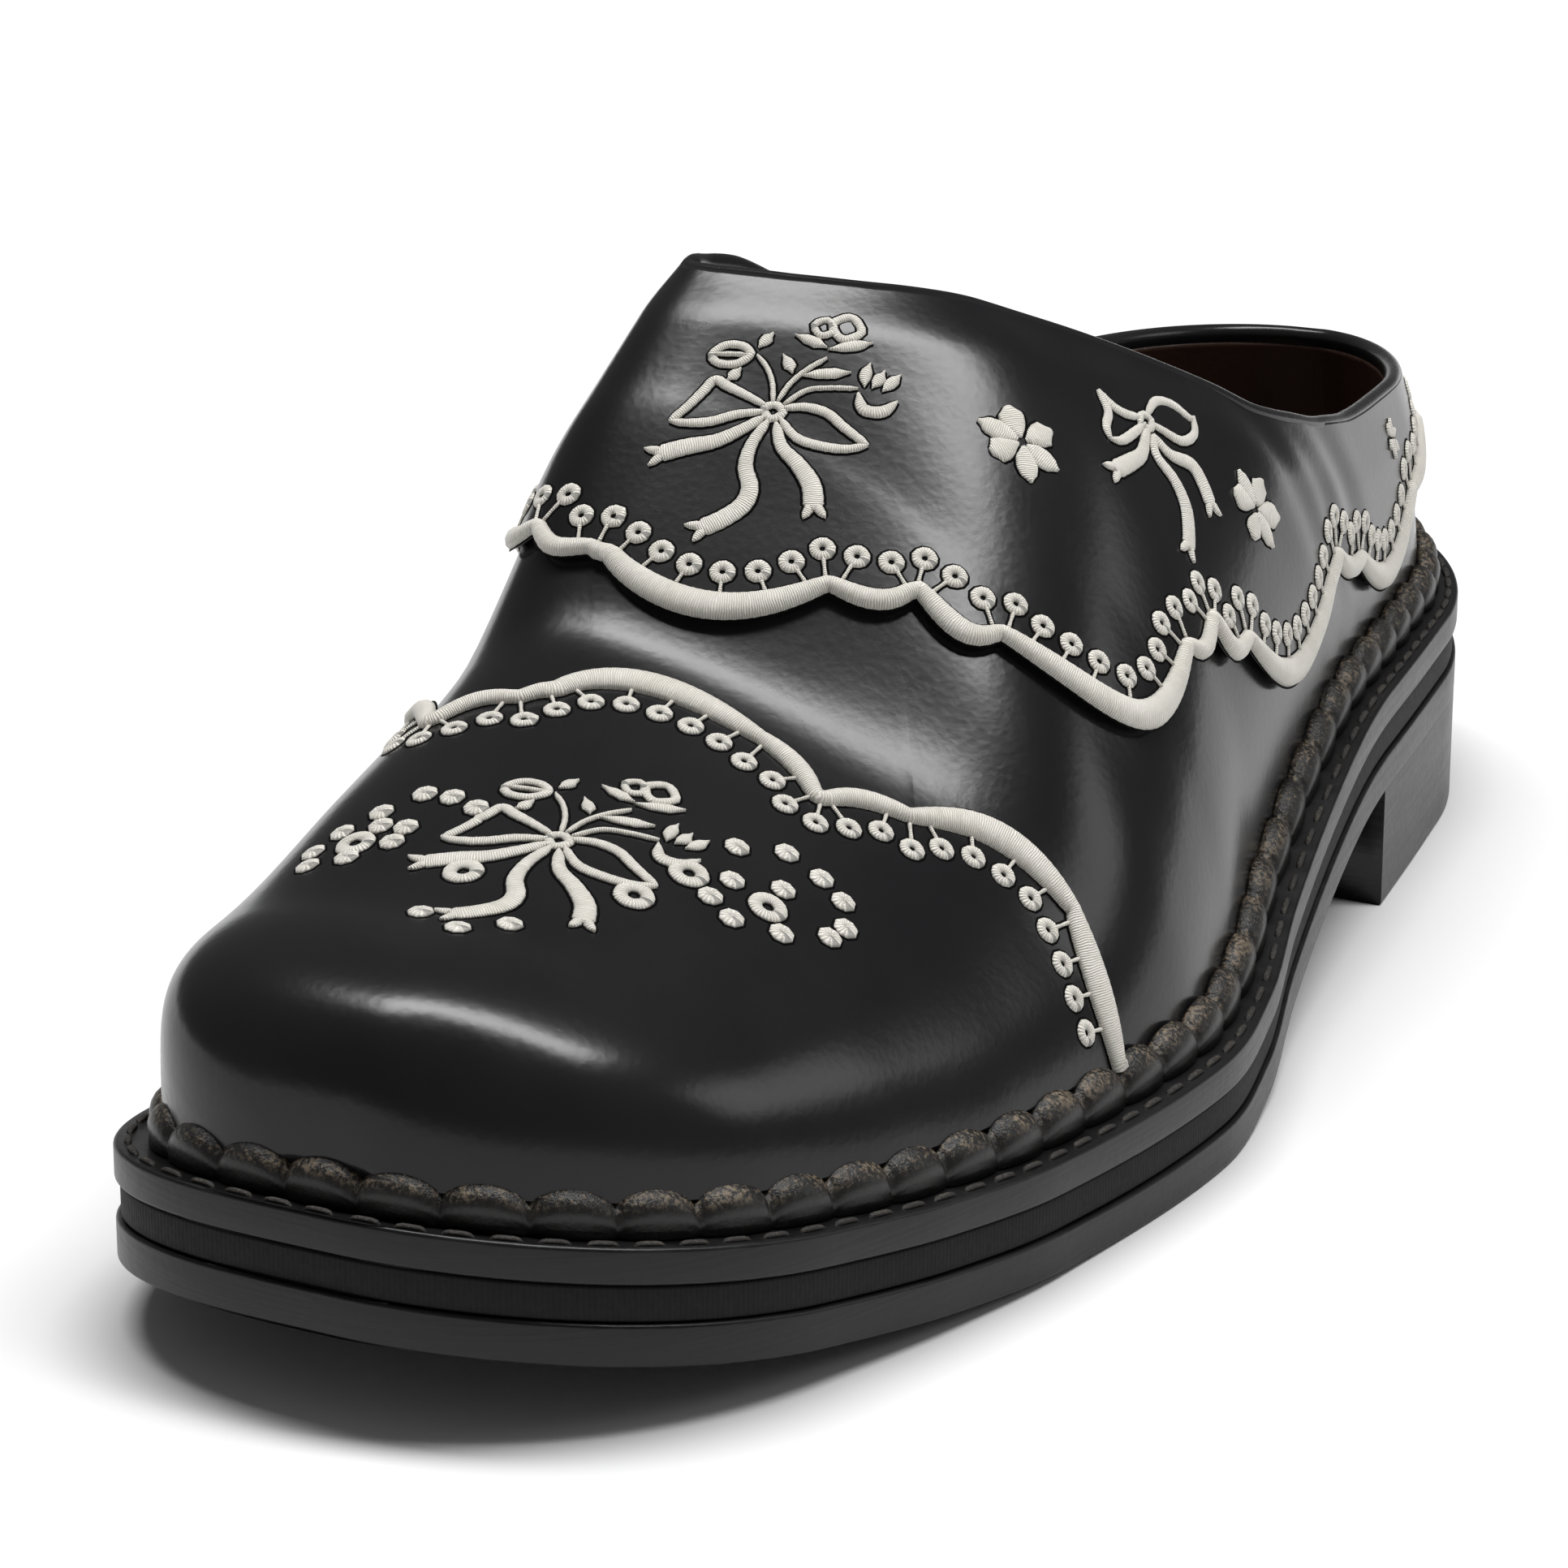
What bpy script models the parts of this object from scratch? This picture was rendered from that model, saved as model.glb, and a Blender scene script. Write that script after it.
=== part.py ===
"""Left slip-on shoe: square toe, low closed back, scalloped storm welt and a low block heel.

Metres, +Z up, toe towards -Y, lateral side towards +X. The origin lies on the floor,
midway along the length and midway across the width of the sole.

Every form comes from two functions. half_width gives the half width of the sole at a
distance from the toe. Last.point gives a point of the upper's outer face from a station
along the feather line and an angle share: +1 at the lateral feather, 0 on the ridge over
the instep and -1 at the medial feather.
"""

import math

import bmesh
import bpy
import numpy as np

COLLECTION = "slip_on_shoe_left"

# Driving sizes
LENGTH = 0.2705
BALL_WIDTH = 0.0984
INSTEP_HEIGHT = 0.0968
TOE_SPRING = 0.0100
HEEL_RISE = 0.0154
GAP = 0.0003

# Layers of the sole edge
OUTSOLE_THICK = 0.0048
MIDSOLE_THICK = 0.0037
WELT_THICK = 0.0041
MIDSOLE_SETBACK = 0.0010
INSOLE_THICK = 0.0030

# Upper and what lies on it
UPPER_INSET = 0.0064
WALL = 0.0015
OVERLAY_THICK = 0.0010
OVERLAY_GAP = 0.0008

# Storm rib
RIB_INSET = 0.0026
RIB_OUTER_HEIGHT = 0.0040
RIB_INNER_HEIGHT = 0.0052
RIB_PITCH = 0.0084
RIB_DIP = 0.0013
RIB_NOTCH = 0.0012
FIT_GAP = 0.0007
SEAT_GAP = 0.0005

# Rocker of the sole and the heel's front, as shares of LENGTH
BALL_SHARE = 0.332
ARCH_START = 0.405
ARCH_END = 0.724
HEEL_BREAST = 0.717

# Plan of the sole: distance from the toe as a share of LENGTH,
# half widths as shares of BALL_WIDTH
PLAN = np.array(
    # share, lateral, medial
    [
        (0.000, 0.444, 0.410),
        (0.121, 0.444, 0.410),
        (0.254, 0.516, 0.435),
        (0.387, 0.554, 0.446),
        (0.460, 0.525, 0.395),
        (0.529, 0.477, 0.330),
        (0.661, 0.411, 0.293),
        (0.793, 0.356, 0.305),
        (0.915, 0.301, 0.303),
        (1.000, 0.259, 0.295),
    ]
)

# How the outline closes: radius as a share of LENGTH and power of the curve
LATERAL_TOE = (0.188, 2.0)
MEDIAL_TOE = (0.184, 3.1)
HEEL_END = (0.155, 2.05)

# The toe and heel of every outline end on a short flat, this far from the true end
END_BLUNT = 0.0002

# Ridge of the last: height over the floor as a share of INSTEP_HEIGHT,
# sideways place as a share of BALL_WIDTH
RIDGE = np.array(
    # share, height, sideways
    [
        (0.050, 0.450, -0.003),
        (0.101, 0.450, -0.030),
        (0.203, 0.514, -0.110),
        (0.305, 0.588, -0.170),
        (0.407, 0.819, -0.205),
        (0.509, 1.000, -0.221),
        (0.610, 0.992, -0.200),
        (0.763, 0.930, -0.060),
        (1.000, 0.870, 0.000),
    ]
)

# Powers of the section curves, across and up, on each side
SECTIONS = np.array(
    # share, lateral across, lateral up, medial across, medial up
    [
        (0.06, 2.01, 2.34, 3.06, 5.00),
        (0.25, 1.71, 1.61, 3.28, 3.36),
        (0.45, 1.78, 1.64, 4.10, 2.78),
        (0.73, 3.20, 2.40, 3.20, 2.40),
        (1.00, 3.20, 2.40, 3.20, 2.40),
    ]
)

# Toe box: radius as a share of LENGTH and power of its rise
TOE_RISE = (0.107, 4.0)

# Wall bulge and lean of the back: share of LENGTH, share of the half width
BULGE = ((0.10, 0.051), (0.80, 0.027))
BACK_LEAN = ((0.50, 0.00), (0.75, 0.05), (1.00, 0.22))

# Back of the last, as shares of LENGTH: how far the ridge is pulled forward at the heel,
# where the pull starts, and where the ridge starts to swing to the middle and how soon
HEEL_PULL = 0.165
RIDGE_END = 0.55
SWING_START = 0.60
SWING_REACH = 0.35

# The rows of the upper run to the throat in front of this share of LENGTH,
# and straight up to the collar behind it
FAN_START = 0.555

# Collar edge: station as a share of LENGTH and angle shares on both sides
COLLAR = np.array(
    # share, lateral, medial
    [
        (0.4620, 0.000, 0.000),
        (0.4630, 0.040, 0.070),
        (0.4700, 0.130, 0.140),
        (0.4880, 0.225, 0.260),
        (0.5160, 0.305, 0.340),
        (0.5420, 0.370, 0.405),
        (0.5780, 0.460, 0.480),
        (0.6050, 0.525, 0.545),
        (0.6300, 0.585, 0.590),
        (0.6650, 0.640, 0.650),
        (0.6990, 0.680, 0.680),
        (0.7450, 0.705, 0.700),
        (0.8150, 0.715, 0.715),
        (0.9000, 0.725, 0.730),
        (1.0000, 0.745, 0.745),
    ]
)

# Scalloped edges: nodes in order from the lateral side to the medial side. Station is a
# share of LENGTH, angle is the angle share, and swell is how far the arc to the next
# node swells out of its chord, as a share of SCALLOP
SCALLOP = 0.0070
GIRTH = 0.0750
QUARTER_EDGE = np.array(
    # station, angle, swell
    [
        (1.000, 0.850, 0.15),
        (0.900, 0.820, 0.20),
        (0.840, 0.870, 0.70),
        (0.726, 0.885, 0.22),
        (0.683, 0.845, 0.95),
        (0.544, 0.743, 0.25),
        (0.514, 0.679, 0.20),
        (0.484, 0.662, 0.95),
        (0.393, 0.462, 0.32),
        (0.383, 0.367, 0.22),
        (0.365, 0.282, 0.86),
        (0.346, -0.015, 0.22),
        (0.356, -0.200, 0.35),
        (0.385, -0.500, 1.45),
        (0.523, -0.843, 0.15),
        (0.548, -0.846, 0.15),
        (0.579, -0.895, 0.45),
        (0.700, -0.850, 0.22),
        (0.740, -0.885, 0.60),
        (0.850, -0.870, 0.20),
        (0.900, -0.820, 0.15),
        (1.000, -0.850, 0.00),
    ]
)
CAP_EDGE = np.array(
    # station, angle, swell
    [
        (0.327, 0.930, 0.00),
        (0.338, 0.690, 0.53),
        (0.305, 0.467, 0.18),
        (0.281, 0.383, 0.18),
        (0.294, 0.290, 0.70),
        (0.264, -0.025, 0.20),
        (0.245, -0.220, 0.30),
        (0.275, -0.420, 0.30),
        (0.334, -0.800, 0.00),
        (0.334, -0.960, 0.00),
    ]
)

# Mesh counts
SOLE_STATIONS = 44
HEEL_STATIONS = 22
INSOLE_STATIONS = 36
FEATHER_STATIONS = 32
TOE_SWEEP = 9
UPPER_ROWS = 14
CAP_ROWS = 8
QUARTER_ROWS = 5
COLLAR_POINTS = 200
FOOT_POINTS = 200
RIB_POINTS = 240

# Spacing along the scalloped edges
QUARTER_STEP = 0.0038
CAP_STEP = 0.0028

# Rib: places in each lobe as shares of its pitch, power of the swell between two notches,
# and share of the run that its outward direction is measured over
RIB_PHASES = (0.0, 0.3, 0.7)
RIB_SWELL = 0.7
RIB_LOOK = 0.002

# Steps that the last's normal is measured with, and the least distance from its toe end
NORMAL_STEP = 0.0004
NORMAL_ANGLE = 0.004
TOE_CLEAR = 0.0001
FOOT_CLEAR = 0.00005

# Edges sharper than this many degrees are shaded as edges
SHARP_ANGLE = 40.0

# Finishes: colour, roughness, metallic
LEATHER = ((0.010, 0.010, 0.011), 0.16, 0.0)
SOLE_EDGE = ((0.030, 0.029, 0.030), 0.38, 0.0)
MIDSOLE_EDGE = ((0.012, 0.011, 0.011), 0.85, 0.0)
RIB_LEATHER = ((0.020, 0.018, 0.016), 0.60, 0.0)
FOOTBED = ((0.035, 0.020, 0.014), 0.60, 0.0)


def smooth(x):
    """Smooth step from 0 to 1."""
    x = np.clip(x, 0.0, 1.0)
    return x * x * (3.0 - 2.0 * x)


def read(rows, column, x):
    """Monotone cubic through one column of a table whose first column is x."""
    rows = np.asarray(rows, float)
    xs = rows[:, 0]
    ys = rows[:, column]
    step = np.diff(xs)
    rise = np.diff(ys) / step
    slope = np.zeros_like(ys)
    slope[0] = rise[0]
    slope[-1] = rise[-1]
    same = rise[:-1] * rise[1:] > 0.0
    safe_a = np.where(same, rise[:-1], 1.0)
    safe_b = np.where(same, rise[1:], 1.0)
    weight_a = 2.0 * step[1:] + step[:-1]
    weight_b = step[1:] + 2.0 * step[:-1]
    mean = (weight_a + weight_b) / (weight_a / safe_a + weight_b / safe_b)
    slope[1:-1] = np.where(same, mean, 0.0)
    x = np.clip(np.asarray(x, float), xs[0], xs[-1])
    i = np.clip(np.searchsorted(xs, x, side="right") - 1, 0, len(xs) - 2)
    t = (x - xs[i]) / step[i]
    value = (1.0 + 2.0 * t) * (1.0 - t) ** 2 * ys[i]
    value += t * (1.0 - t) ** 2 * step[i] * slope[i]
    value += t * t * (3.0 - 2.0 * t) * ys[i + 1]
    value += t * t * (t - 1.0) * step[i] * slope[i + 1]
    return value


def close_end(distance, radius, power):
    """Share of the full width at a distance from an end that closes as a superellipse."""
    inner = 1.0 - np.clip(distance / radius, 0.0, 1.0)
    return (1.0 - inner**power) ** (1.0 / power)


def underside(y):
    """Height of the outsole's underside at a distance from the toe."""
    toe = TOE_SPRING * np.clip(1.0 - y / (BALL_SHARE * LENGTH), 0.0, 1.0) ** 2
    arch = (y / LENGTH - ARCH_START) / (ARCH_END - ARCH_START)
    return toe + HEEL_RISE * smooth(arch)


SOLE_THICK = OUTSOLE_THICK + MIDSOLE_THICK + WELT_THICK + 2.0 * GAP


def welt_top(y):
    """Height of the welt's flat strip at a distance from the toe."""
    return underside(y) + SOLE_THICK


def half_width(y, side, inset=0.0):
    """Half width of the sole on one side (+1 lateral, -1 medial), less an inset all round."""
    column = np.where(np.asarray(side) > 0, 1, 2)
    full = np.where(column == 1, read(PLAN, 1, y / LENGTH), read(PLAN, 2, y / LENGTH))
    full = full * BALL_WIDTH - inset
    toe_radius = np.where(column == 1, LATERAL_TOE[0], MEDIAL_TOE[0]) * LENGTH - inset
    toe_power = np.where(column == 1, LATERAL_TOE[1], MEDIAL_TOE[1])
    toe = close_end(y - inset + END_BLUNT, toe_radius, toe_power)
    heel_radius = HEEL_END[0] * LENGTH - inset
    heel = close_end(LENGTH - inset - y + END_BLUNT, heel_radius, HEEL_END[1])
    return full * toe * heel


def stations(count, inset=0.0, first=0.0):
    """Distances from the toe to the heel, closer together at both ends."""
    start = max(first, inset)
    end = LENGTH - inset
    turn = 0.5 - 0.5 * np.cos(np.linspace(0.0, math.pi, count))
    return start + (end - start) * turn


class Last:
    """Outer face of the upper as a function of station and angle share."""

    def __init__(self, raised=0.0):
        self.raised = raised
        self.start = UPPER_INSET
        self.end = LENGTH - UPPER_INSET

    def lift(self, y):
        """Height of the ridge over the welt, closed at the toe."""
        back = HEEL_PULL * LENGTH - UPPER_INSET
        pull = smooth((y / LENGTH - RIDGE_END) / (1.0 - RIDGE_END))
        ridge_y = y - back * pull
        height = read(RIDGE, 1, ridge_y / LENGTH) * INSTEP_HEIGHT - welt_top(y) - SEAT_GAP
        return height * close_end(y - self.start, TOE_RISE[0] * LENGTH, TOE_RISE[1]), ridge_y

    def powers(self, y, side):
        """Powers of the section across and up."""
        share = y / LENGTH
        across = np.where(side > 0, read(SECTIONS, 1, share), read(SECTIONS, 3, share))
        up = np.where(side > 0, read(SECTIONS, 2, share), read(SECTIONS, 4, share))
        return across, up

    def base(self, y, angle):
        """Point of the face before any raise."""
        y, angle = np.broadcast_arrays(np.asarray(y, float), np.asarray(angle, float))
        side = np.where(angle >= 0.0, 1.0, -1.0)
        share = y / LENGTH
        lateral = half_width(y, 1.0, UPPER_INSET)
        medial = half_width(y, -1.0, UPPER_INSET)
        reach = np.where(side > 0, lateral, medial)
        ridge_x = read(RIDGE, 2, share) * BALL_WIDTH
        swing = smooth((share - SWING_START) / SWING_REACH)
        ridge_x = ridge_x * (1.0 - swing) + 0.5 * (lateral - medial) * swing
        height, ridge_y = self.lift(y)
        across, up = self.powers(y, side)
        turn = np.abs(angle) * math.pi / 2.0
        out = np.sin(turn) ** (2.0 / across)
        rise = np.cos(turn) ** (2.0 / up)
        bulge = read(BULGE, 1, share) * np.sin(2.0 * turn) ** 2 * np.sin(turn) ** 2
        lean = 1.0 - read(BACK_LEAN, 1, share) * rise
        x = ridge_x + (side * reach - ridge_x) * (out * lean + bulge)
        y_out = ridge_y + (y - ridge_y) * out * lean
        z = welt_top(y) + SEAT_GAP + height * rise
        return np.stack([x, y_out, z], -1)

    def normal(self, y, angle):
        """Outward normal by small differences."""
        y, angle = np.broadcast_arrays(np.asarray(y, float), np.asarray(angle, float))
        before = np.clip(y - NORMAL_STEP, self.start + TOE_CLEAR, self.end)
        behind = np.clip(y + NORMAL_STEP, self.start + TOE_CLEAR, self.end)
        run = self.base(behind, angle) - self.base(before, angle)
        low = np.clip(angle - NORMAL_ANGLE, -1.0, 1.0)
        high = np.clip(angle + NORMAL_ANGLE, -1.0, 1.0)
        across = self.base(y, high) - self.base(y, low)
        normal = np.cross(across, run)
        size = np.linalg.norm(normal, axis=-1, keepdims=True)
        return normal / np.maximum(size, 1e-12)

    def point(self, y, angle):
        """Point of the face, moved out by the raise."""
        return self.base(y, angle) + self.raised * self.normal(y, angle)


def centre_shift():
    """Moves the model so that its origin lies under the middle of the sole's box."""
    y = stations(SOLE_STATIONS)
    lateral = half_width(y, 1.0).max()
    medial = half_width(y, -1.0).max()
    return np.array([0.5 * (medial - lateral), -0.5 * LENGTH, 0.0])


def add_mesh(name, points, faces, finish):
    """Adds a mesh object with its own material."""
    colour, roughness, metallic = finish
    mesh = bpy.data.meshes.new(name)
    shifted = np.asarray(points).reshape(-1, 3) + centre_shift()
    mesh.from_pydata(shifted.tolist(), [], [list(map(int, face)) for face in faces])
    material = bpy.data.materials.new(name)
    material.use_nodes = True
    shader = material.node_tree.nodes["Principled BSDF"]
    shader.inputs["Base Color"].default_value = (*colour, 1.0)
    shader.inputs["Roughness"].default_value = roughness
    shader.inputs["Metallic"].default_value = metallic
    mesh.materials.append(material)
    mesh.update()
    work = bmesh.new()
    work.from_mesh(mesh)
    bmesh.ops.recalc_face_normals(work, faces=work.faces)
    work.to_mesh(mesh)
    work.free()
    mesh.shade_smooth()
    mesh.set_sharp_from_angle(angle=math.radians(SHARP_ANGLE))
    thing = bpy.data.objects.new(name, mesh)
    bpy.data.collections[COLLECTION].objects.link(thing)
    return thing


def slab(name, y, inset, low, high, finish):
    """A layer of the sole: its outline at the stations y, from height low to height high."""
    lateral = half_width(y, 1.0, inset)
    medial = -half_width(y, -1.0, inset)
    corners = [(lateral, low), (lateral, high), (medial, high), (medial, low)]
    rings = np.stack([np.stack([x, y, z], -1) for x, z in corners], 1)
    count = len(y)
    faces = []
    for i in range(count - 1):
        for k in range(4):
            a = 4 * i + k
            b = 4 * i + (k + 1) % 4
            faces.append((a, b, b + 4, a + 4))
    faces.append((3, 2, 1, 0))
    last = 4 * (count - 1)
    faces.append((last, last + 1, last + 2, last + 3))
    add_mesh(name, rings, faces, finish)


def sole_layers():
    """Outsole, midsole, welt, heel block and insole."""
    y = stations(SOLE_STATIONS)
    low = underside(y)
    high = low + OUTSOLE_THICK
    slab("outsole", y, 0.0, low, high, SOLE_EDGE)
    y = stations(SOLE_STATIONS, MIDSOLE_SETBACK)
    low = underside(y) + OUTSOLE_THICK + GAP
    high = low + MIDSOLE_THICK
    slab("midsole", y, MIDSOLE_SETBACK, low, high, MIDSOLE_EDGE)
    y = stations(SOLE_STATIONS)
    high = welt_top(y)
    slab("welt", y, 0.0, high - WELT_THICK, high, SOLE_EDGE)
    y = stations(HEEL_STATIONS, first=HEEL_BREAST * LENGTH)
    slab("heel_block", y, 0.0, np.zeros_like(y), underside(y) - GAP, SOLE_EDGE)
    inset = UPPER_INSET + WALL + 2.0 * FIT_GAP
    y = stations(INSOLE_STATIONS, inset)
    low = welt_top(y) + GAP
    slab("insole", y, inset, low, low + INSOLE_THICK, FOOTBED)


def along(path):
    """Running length of a path, as a share of the whole."""
    steps = np.linalg.norm(np.diff(path, axis=0), axis=1)
    run = np.concatenate([[0.0], np.cumsum(steps)])
    return run / run[-1]


def resample(path, shares):
    """Points of a path at shares of its running length."""
    run = along(path)
    return np.stack([np.interp(shares, run, path[:, k]) for k in range(path.shape[1])], 1)


def flat(pairs):
    """Station and angle share as lengths on a flat pattern."""
    return np.stack([pairs[:, 0], pairs[:, 1] * GIRTH], 1)


def scallops(nodes, side, edge_step):
    """The scalloped edge as pairs of station and angle share, a step apart."""
    knots = flat(np.stack([nodes[:, 0] * LENGTH, nodes[:, 1]], 1))
    knots[:, 0] = np.clip(knots[:, 0], UPPER_INSET, LENGTH - UPPER_INSET)
    path = [knots[:1]]
    for a, b, swell in zip(knots[:-1], knots[1:], nodes[:-1, 2]):
        chord = b - a
        size = np.linalg.norm(chord)
        out = side * np.array([chord[1], -chord[0]]) / size
        count = max(3, int(round(size / edge_step)))
        t = np.linspace(0.0, 1.0, count + 1)[1:, None]
        path.append(a + t * chord + out * SCALLOP * swell * 4.0 * t * (1.0 - t))
    path = np.concatenate(path)
    return np.stack([path[:, 0], path[:, 1] / GIRTH], 1)


def collar_path():
    """The collar edge from the lateral heel over the throat to the medial heel."""
    start = COLLAR[0, 0] * LENGTH
    t = np.linspace(0.0, 1.0, COLLAR_POINTS) ** 2
    y = start + (LENGTH - UPPER_INSET - start) * t
    lateral = np.stack([y, read(COLLAR, 1, y / LENGTH)], 1)[::-1]
    medial = np.stack([y, -read(COLLAR, 2, y / LENGTH)], 1)
    return np.concatenate([lateral, medial[1:]])


def split_path(path):
    """First and last index of the stretch of a path in front of FAN_START."""
    ahead = np.nonzero(path[:, 0] < FAN_START * LENGTH)[0]
    return ahead[0], ahead[-1]


def facing_collar(outer):
    """For each point of an outer path, the collar point that its row runs up to."""
    collar = collar_path()
    first, last = split_path(collar)
    front = collar[first : last + 1]
    a, b = split_path(outer)
    shares = along(flat(outer[a : b + 1]))
    run = along(flat(front))
    inner = np.empty_like(outer)
    for k in range(2):
        inner[a : b + 1, k] = np.interp(shares, run, front[:, k])
    for part in (slice(0, a), slice(b + 1, len(outer))):
        y = outer[part, 0]
        lateral = outer[part, 1] > 0
        angle = np.where(lateral, read(COLLAR, 1, y / LENGTH), -read(COLLAR, 2, y / LENGTH))
        inner[part] = np.stack([y, angle], 1)
    return inner


def band(outer, inner, rows, front):
    """Pairs of station and angle share on a grid between two paths.

    Rows are even where front is 0, and where it is 1 they crowd together at both ends,
    most at the outer one.
    """
    even = np.linspace(0.0, 1.0, rows + 1)[:, None, None]
    crowded = even**3 * (4.0 - 3.0 * even)
    t = even + (crowded - even) * front[None, :, None]
    return outer[None] * (1.0 - t) + inner[None] * t


def shell(name, grid, raised, wall, closed):
    """One wall over a grid of pairs, its outer face raised over the last."""
    points = Last(raised).point(grid[..., 0], grid[..., 1])
    rows, columns = grid.shape[:2]
    faces = []
    for i in range(rows - 1):
        for k in range(columns if closed else columns - 1):
            a = i * columns + k
            b = i * columns + (k + 1) % columns
            faces.append((a, a + columns, b + columns, b))
    thing = add_mesh(name, points, faces, LEATHER)
    work = bmesh.new()
    work.from_mesh(thing.data)
    work.faces.ensure_lookup_table()
    middle = max(work.faces, key=lambda face: face.calc_center_median().z)
    if middle.normal.z < 0.0:
        bmesh.ops.reverse_faces(work, faces=work.faces)
    work.to_mesh(thing.data)
    work.free()
    solid = thing.modifiers.new("wall", "SOLIDIFY")
    solid.thickness = wall
    solid.offset = -1.0
    solid.use_even_offset = True


def upper():
    """The hollow body of the shoe from the feather up to the collar."""
    y = stations(FEATHER_STATIONS, UPPER_INSET)
    side = np.ones_like(y)
    sweep = np.linspace(1.0, -1.0, TOE_SWEEP + 2)[1:-1]
    lateral = np.stack([y, side], 1)[::-1]
    toe = np.stack([np.full(TOE_SWEEP, UPPER_INSET), sweep], 1)
    medial = np.stack([y, -side], 1)
    outer = np.concatenate([lateral, toe, medial])
    inner = facing_collar(outer)
    ahead = smooth(1.0 - outer[:, 0] / (FAN_START * LENGTH))
    grid = band(outer, inner, UPPER_ROWS, ahead)
    shell("upper", grid, 0.0, WALL, True)


def quarter_overlay():
    """The scalloped quarter and tongue piece that lies over the vamp."""
    outer = scallops(QUARTER_EDGE, 1.0, QUARTER_STEP)
    grid = band(outer, facing_collar(outer), QUARTER_ROWS, np.zeros(len(outer)))
    shell("quarter_overlay", grid, OVERLAY_GAP + OVERLAY_THICK, OVERLAY_THICK, True)


def low_edge():
    """Edge of the toe cap just over the rib: lateral side, round the toe, medial side."""
    last = Last()
    height = RIB_INNER_HEIGHT + FIT_GAP
    turn = np.linspace(0.0, 1.0, FOOT_POINTS)
    paths = []
    for side, node in ((1.0, CAP_EDGE[0]), (-1.0, CAP_EDGE[-1])):
        y_end = node[0] * LENGTH
        y = UPPER_INSET + (y_end - UPPER_INSET) * (1.0 - np.cos(turn * math.pi / 2.0))
        y = np.maximum(y, UPPER_INSET + FOOT_CLEAR)
        lift, _ = last.lift(y)
        _, up = last.powers(y, np.full_like(y, side))
        rise = np.clip(height / np.maximum(lift, height), 0.0, 1.0)
        angle = np.arccos(rise ** (up / 2.0)) / (math.pi / 2.0)
        paths.append(np.stack([y, side * angle], 1))
    return np.concatenate([paths[0][::-1], paths[1][1:]])


def toe_cap():
    """The scalloped cap over the toe."""
    inner = scallops(CAP_EDGE[1:-1], -1.0, CAP_STEP)
    outer = resample(flat(low_edge()), along(flat(inner)))
    outer[:, 1] /= GIRTH
    ahead = smooth(1.0 - outer[:, 0] / (CAP_EDGE[0, 0] * LENGTH))
    grid = band(outer, inner, CAP_ROWS, ahead)
    shell("toe_cap", grid, OVERLAY_GAP + OVERLAY_THICK, OVERLAY_THICK, False)


def welt_rib():
    """The scalloped rib that stands on the welt round the upper's foot."""
    y = stations(RIB_POINTS, UPPER_INSET)
    lateral = np.stack([half_width(y, 1.0, UPPER_INSET), y], 1)
    medial = np.stack([-half_width(y, -1.0, UPPER_INSET), y], 1)
    loop = np.concatenate([lateral, medial[::-1], lateral[:1]])
    size = np.linalg.norm(np.diff(loop, axis=0), axis=1).sum()
    lobes = int(round(size / RIB_PITCH))
    phases = np.array(RIB_PHASES)
    shares = (np.arange(lobes)[:, None] + phases).ravel() / lobes
    path = resample(loop, shares)
    ahead = resample(loop, (shares + RIB_LOOK) % 1.0)
    behind = resample(loop, (shares - RIB_LOOK) % 1.0)
    run = ahead - behind
    out = np.stack([run[:, 1], -run[:, 0]], 1) / np.linalg.norm(run, axis=1)[:, None]
    swell = np.tile(np.sin(math.pi * phases) ** RIB_SWELL, lobes)
    width = UPPER_INSET - RIB_INSET
    corners = [
        (np.full_like(swell, FIT_GAP), np.full_like(swell, GAP)),
        (width - RIB_NOTCH * 0.5 * (1.0 - swell), np.full_like(swell, GAP)),
        (width - RIB_NOTCH * (1.0 - swell), RIB_OUTER_HEIGHT - RIB_DIP * (1.0 - swell)),
        (np.full_like(swell, FIT_GAP), RIB_INNER_HEIGHT - RIB_DIP * (1.0 - swell)),
    ]
    rings = []
    for reach, height in corners:
        spot = path + out * reach[:, None]
        rings.append(np.column_stack([spot, welt_top(spot[:, 1]) + height]))
    rings = np.stack(rings, 1)
    count = len(shares)
    faces = []
    for i in range(count):
        for k in range(4):
            a = 4 * i + k
            b = 4 * i + (k + 1) % 4
            c = 4 * ((i + 1) % count)
            faces.append((a, b, c + (k + 1) % 4, c + k))
    add_mesh("welt_rib", rings, faces, RIB_LEATHER)


def main():
    """Clears the scene and builds the shoe."""
    for thing in list(bpy.data.objects):
        bpy.data.objects.remove(thing)
    collection = bpy.data.collections.new(COLLECTION)
    bpy.context.scene.collection.children.link(collection)
    sole_layers()
    welt_rib()
    upper()
    toe_cap()
    quarter_overlay()


main()
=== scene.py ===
"""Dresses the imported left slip-on shoe: polished black leather, ivory whitework, layered sole.

Metres, +Z up, toe towards -Y, lateral side towards +X. Every surface is worked out with
numpy from the last: a point of the upper comes from a station (distance from the toe) and
an angle share (+1 at the lateral feather, 0 on the ridge, -1 at the medial feather).
"""

from __future__ import annotations

import logging
import math
from collections.abc import Callable
from dataclasses import dataclass, field
from enum import Enum
from functools import lru_cache

import bmesh
import bpy
import numpy as np
from mathutils import Matrix, Vector

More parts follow.
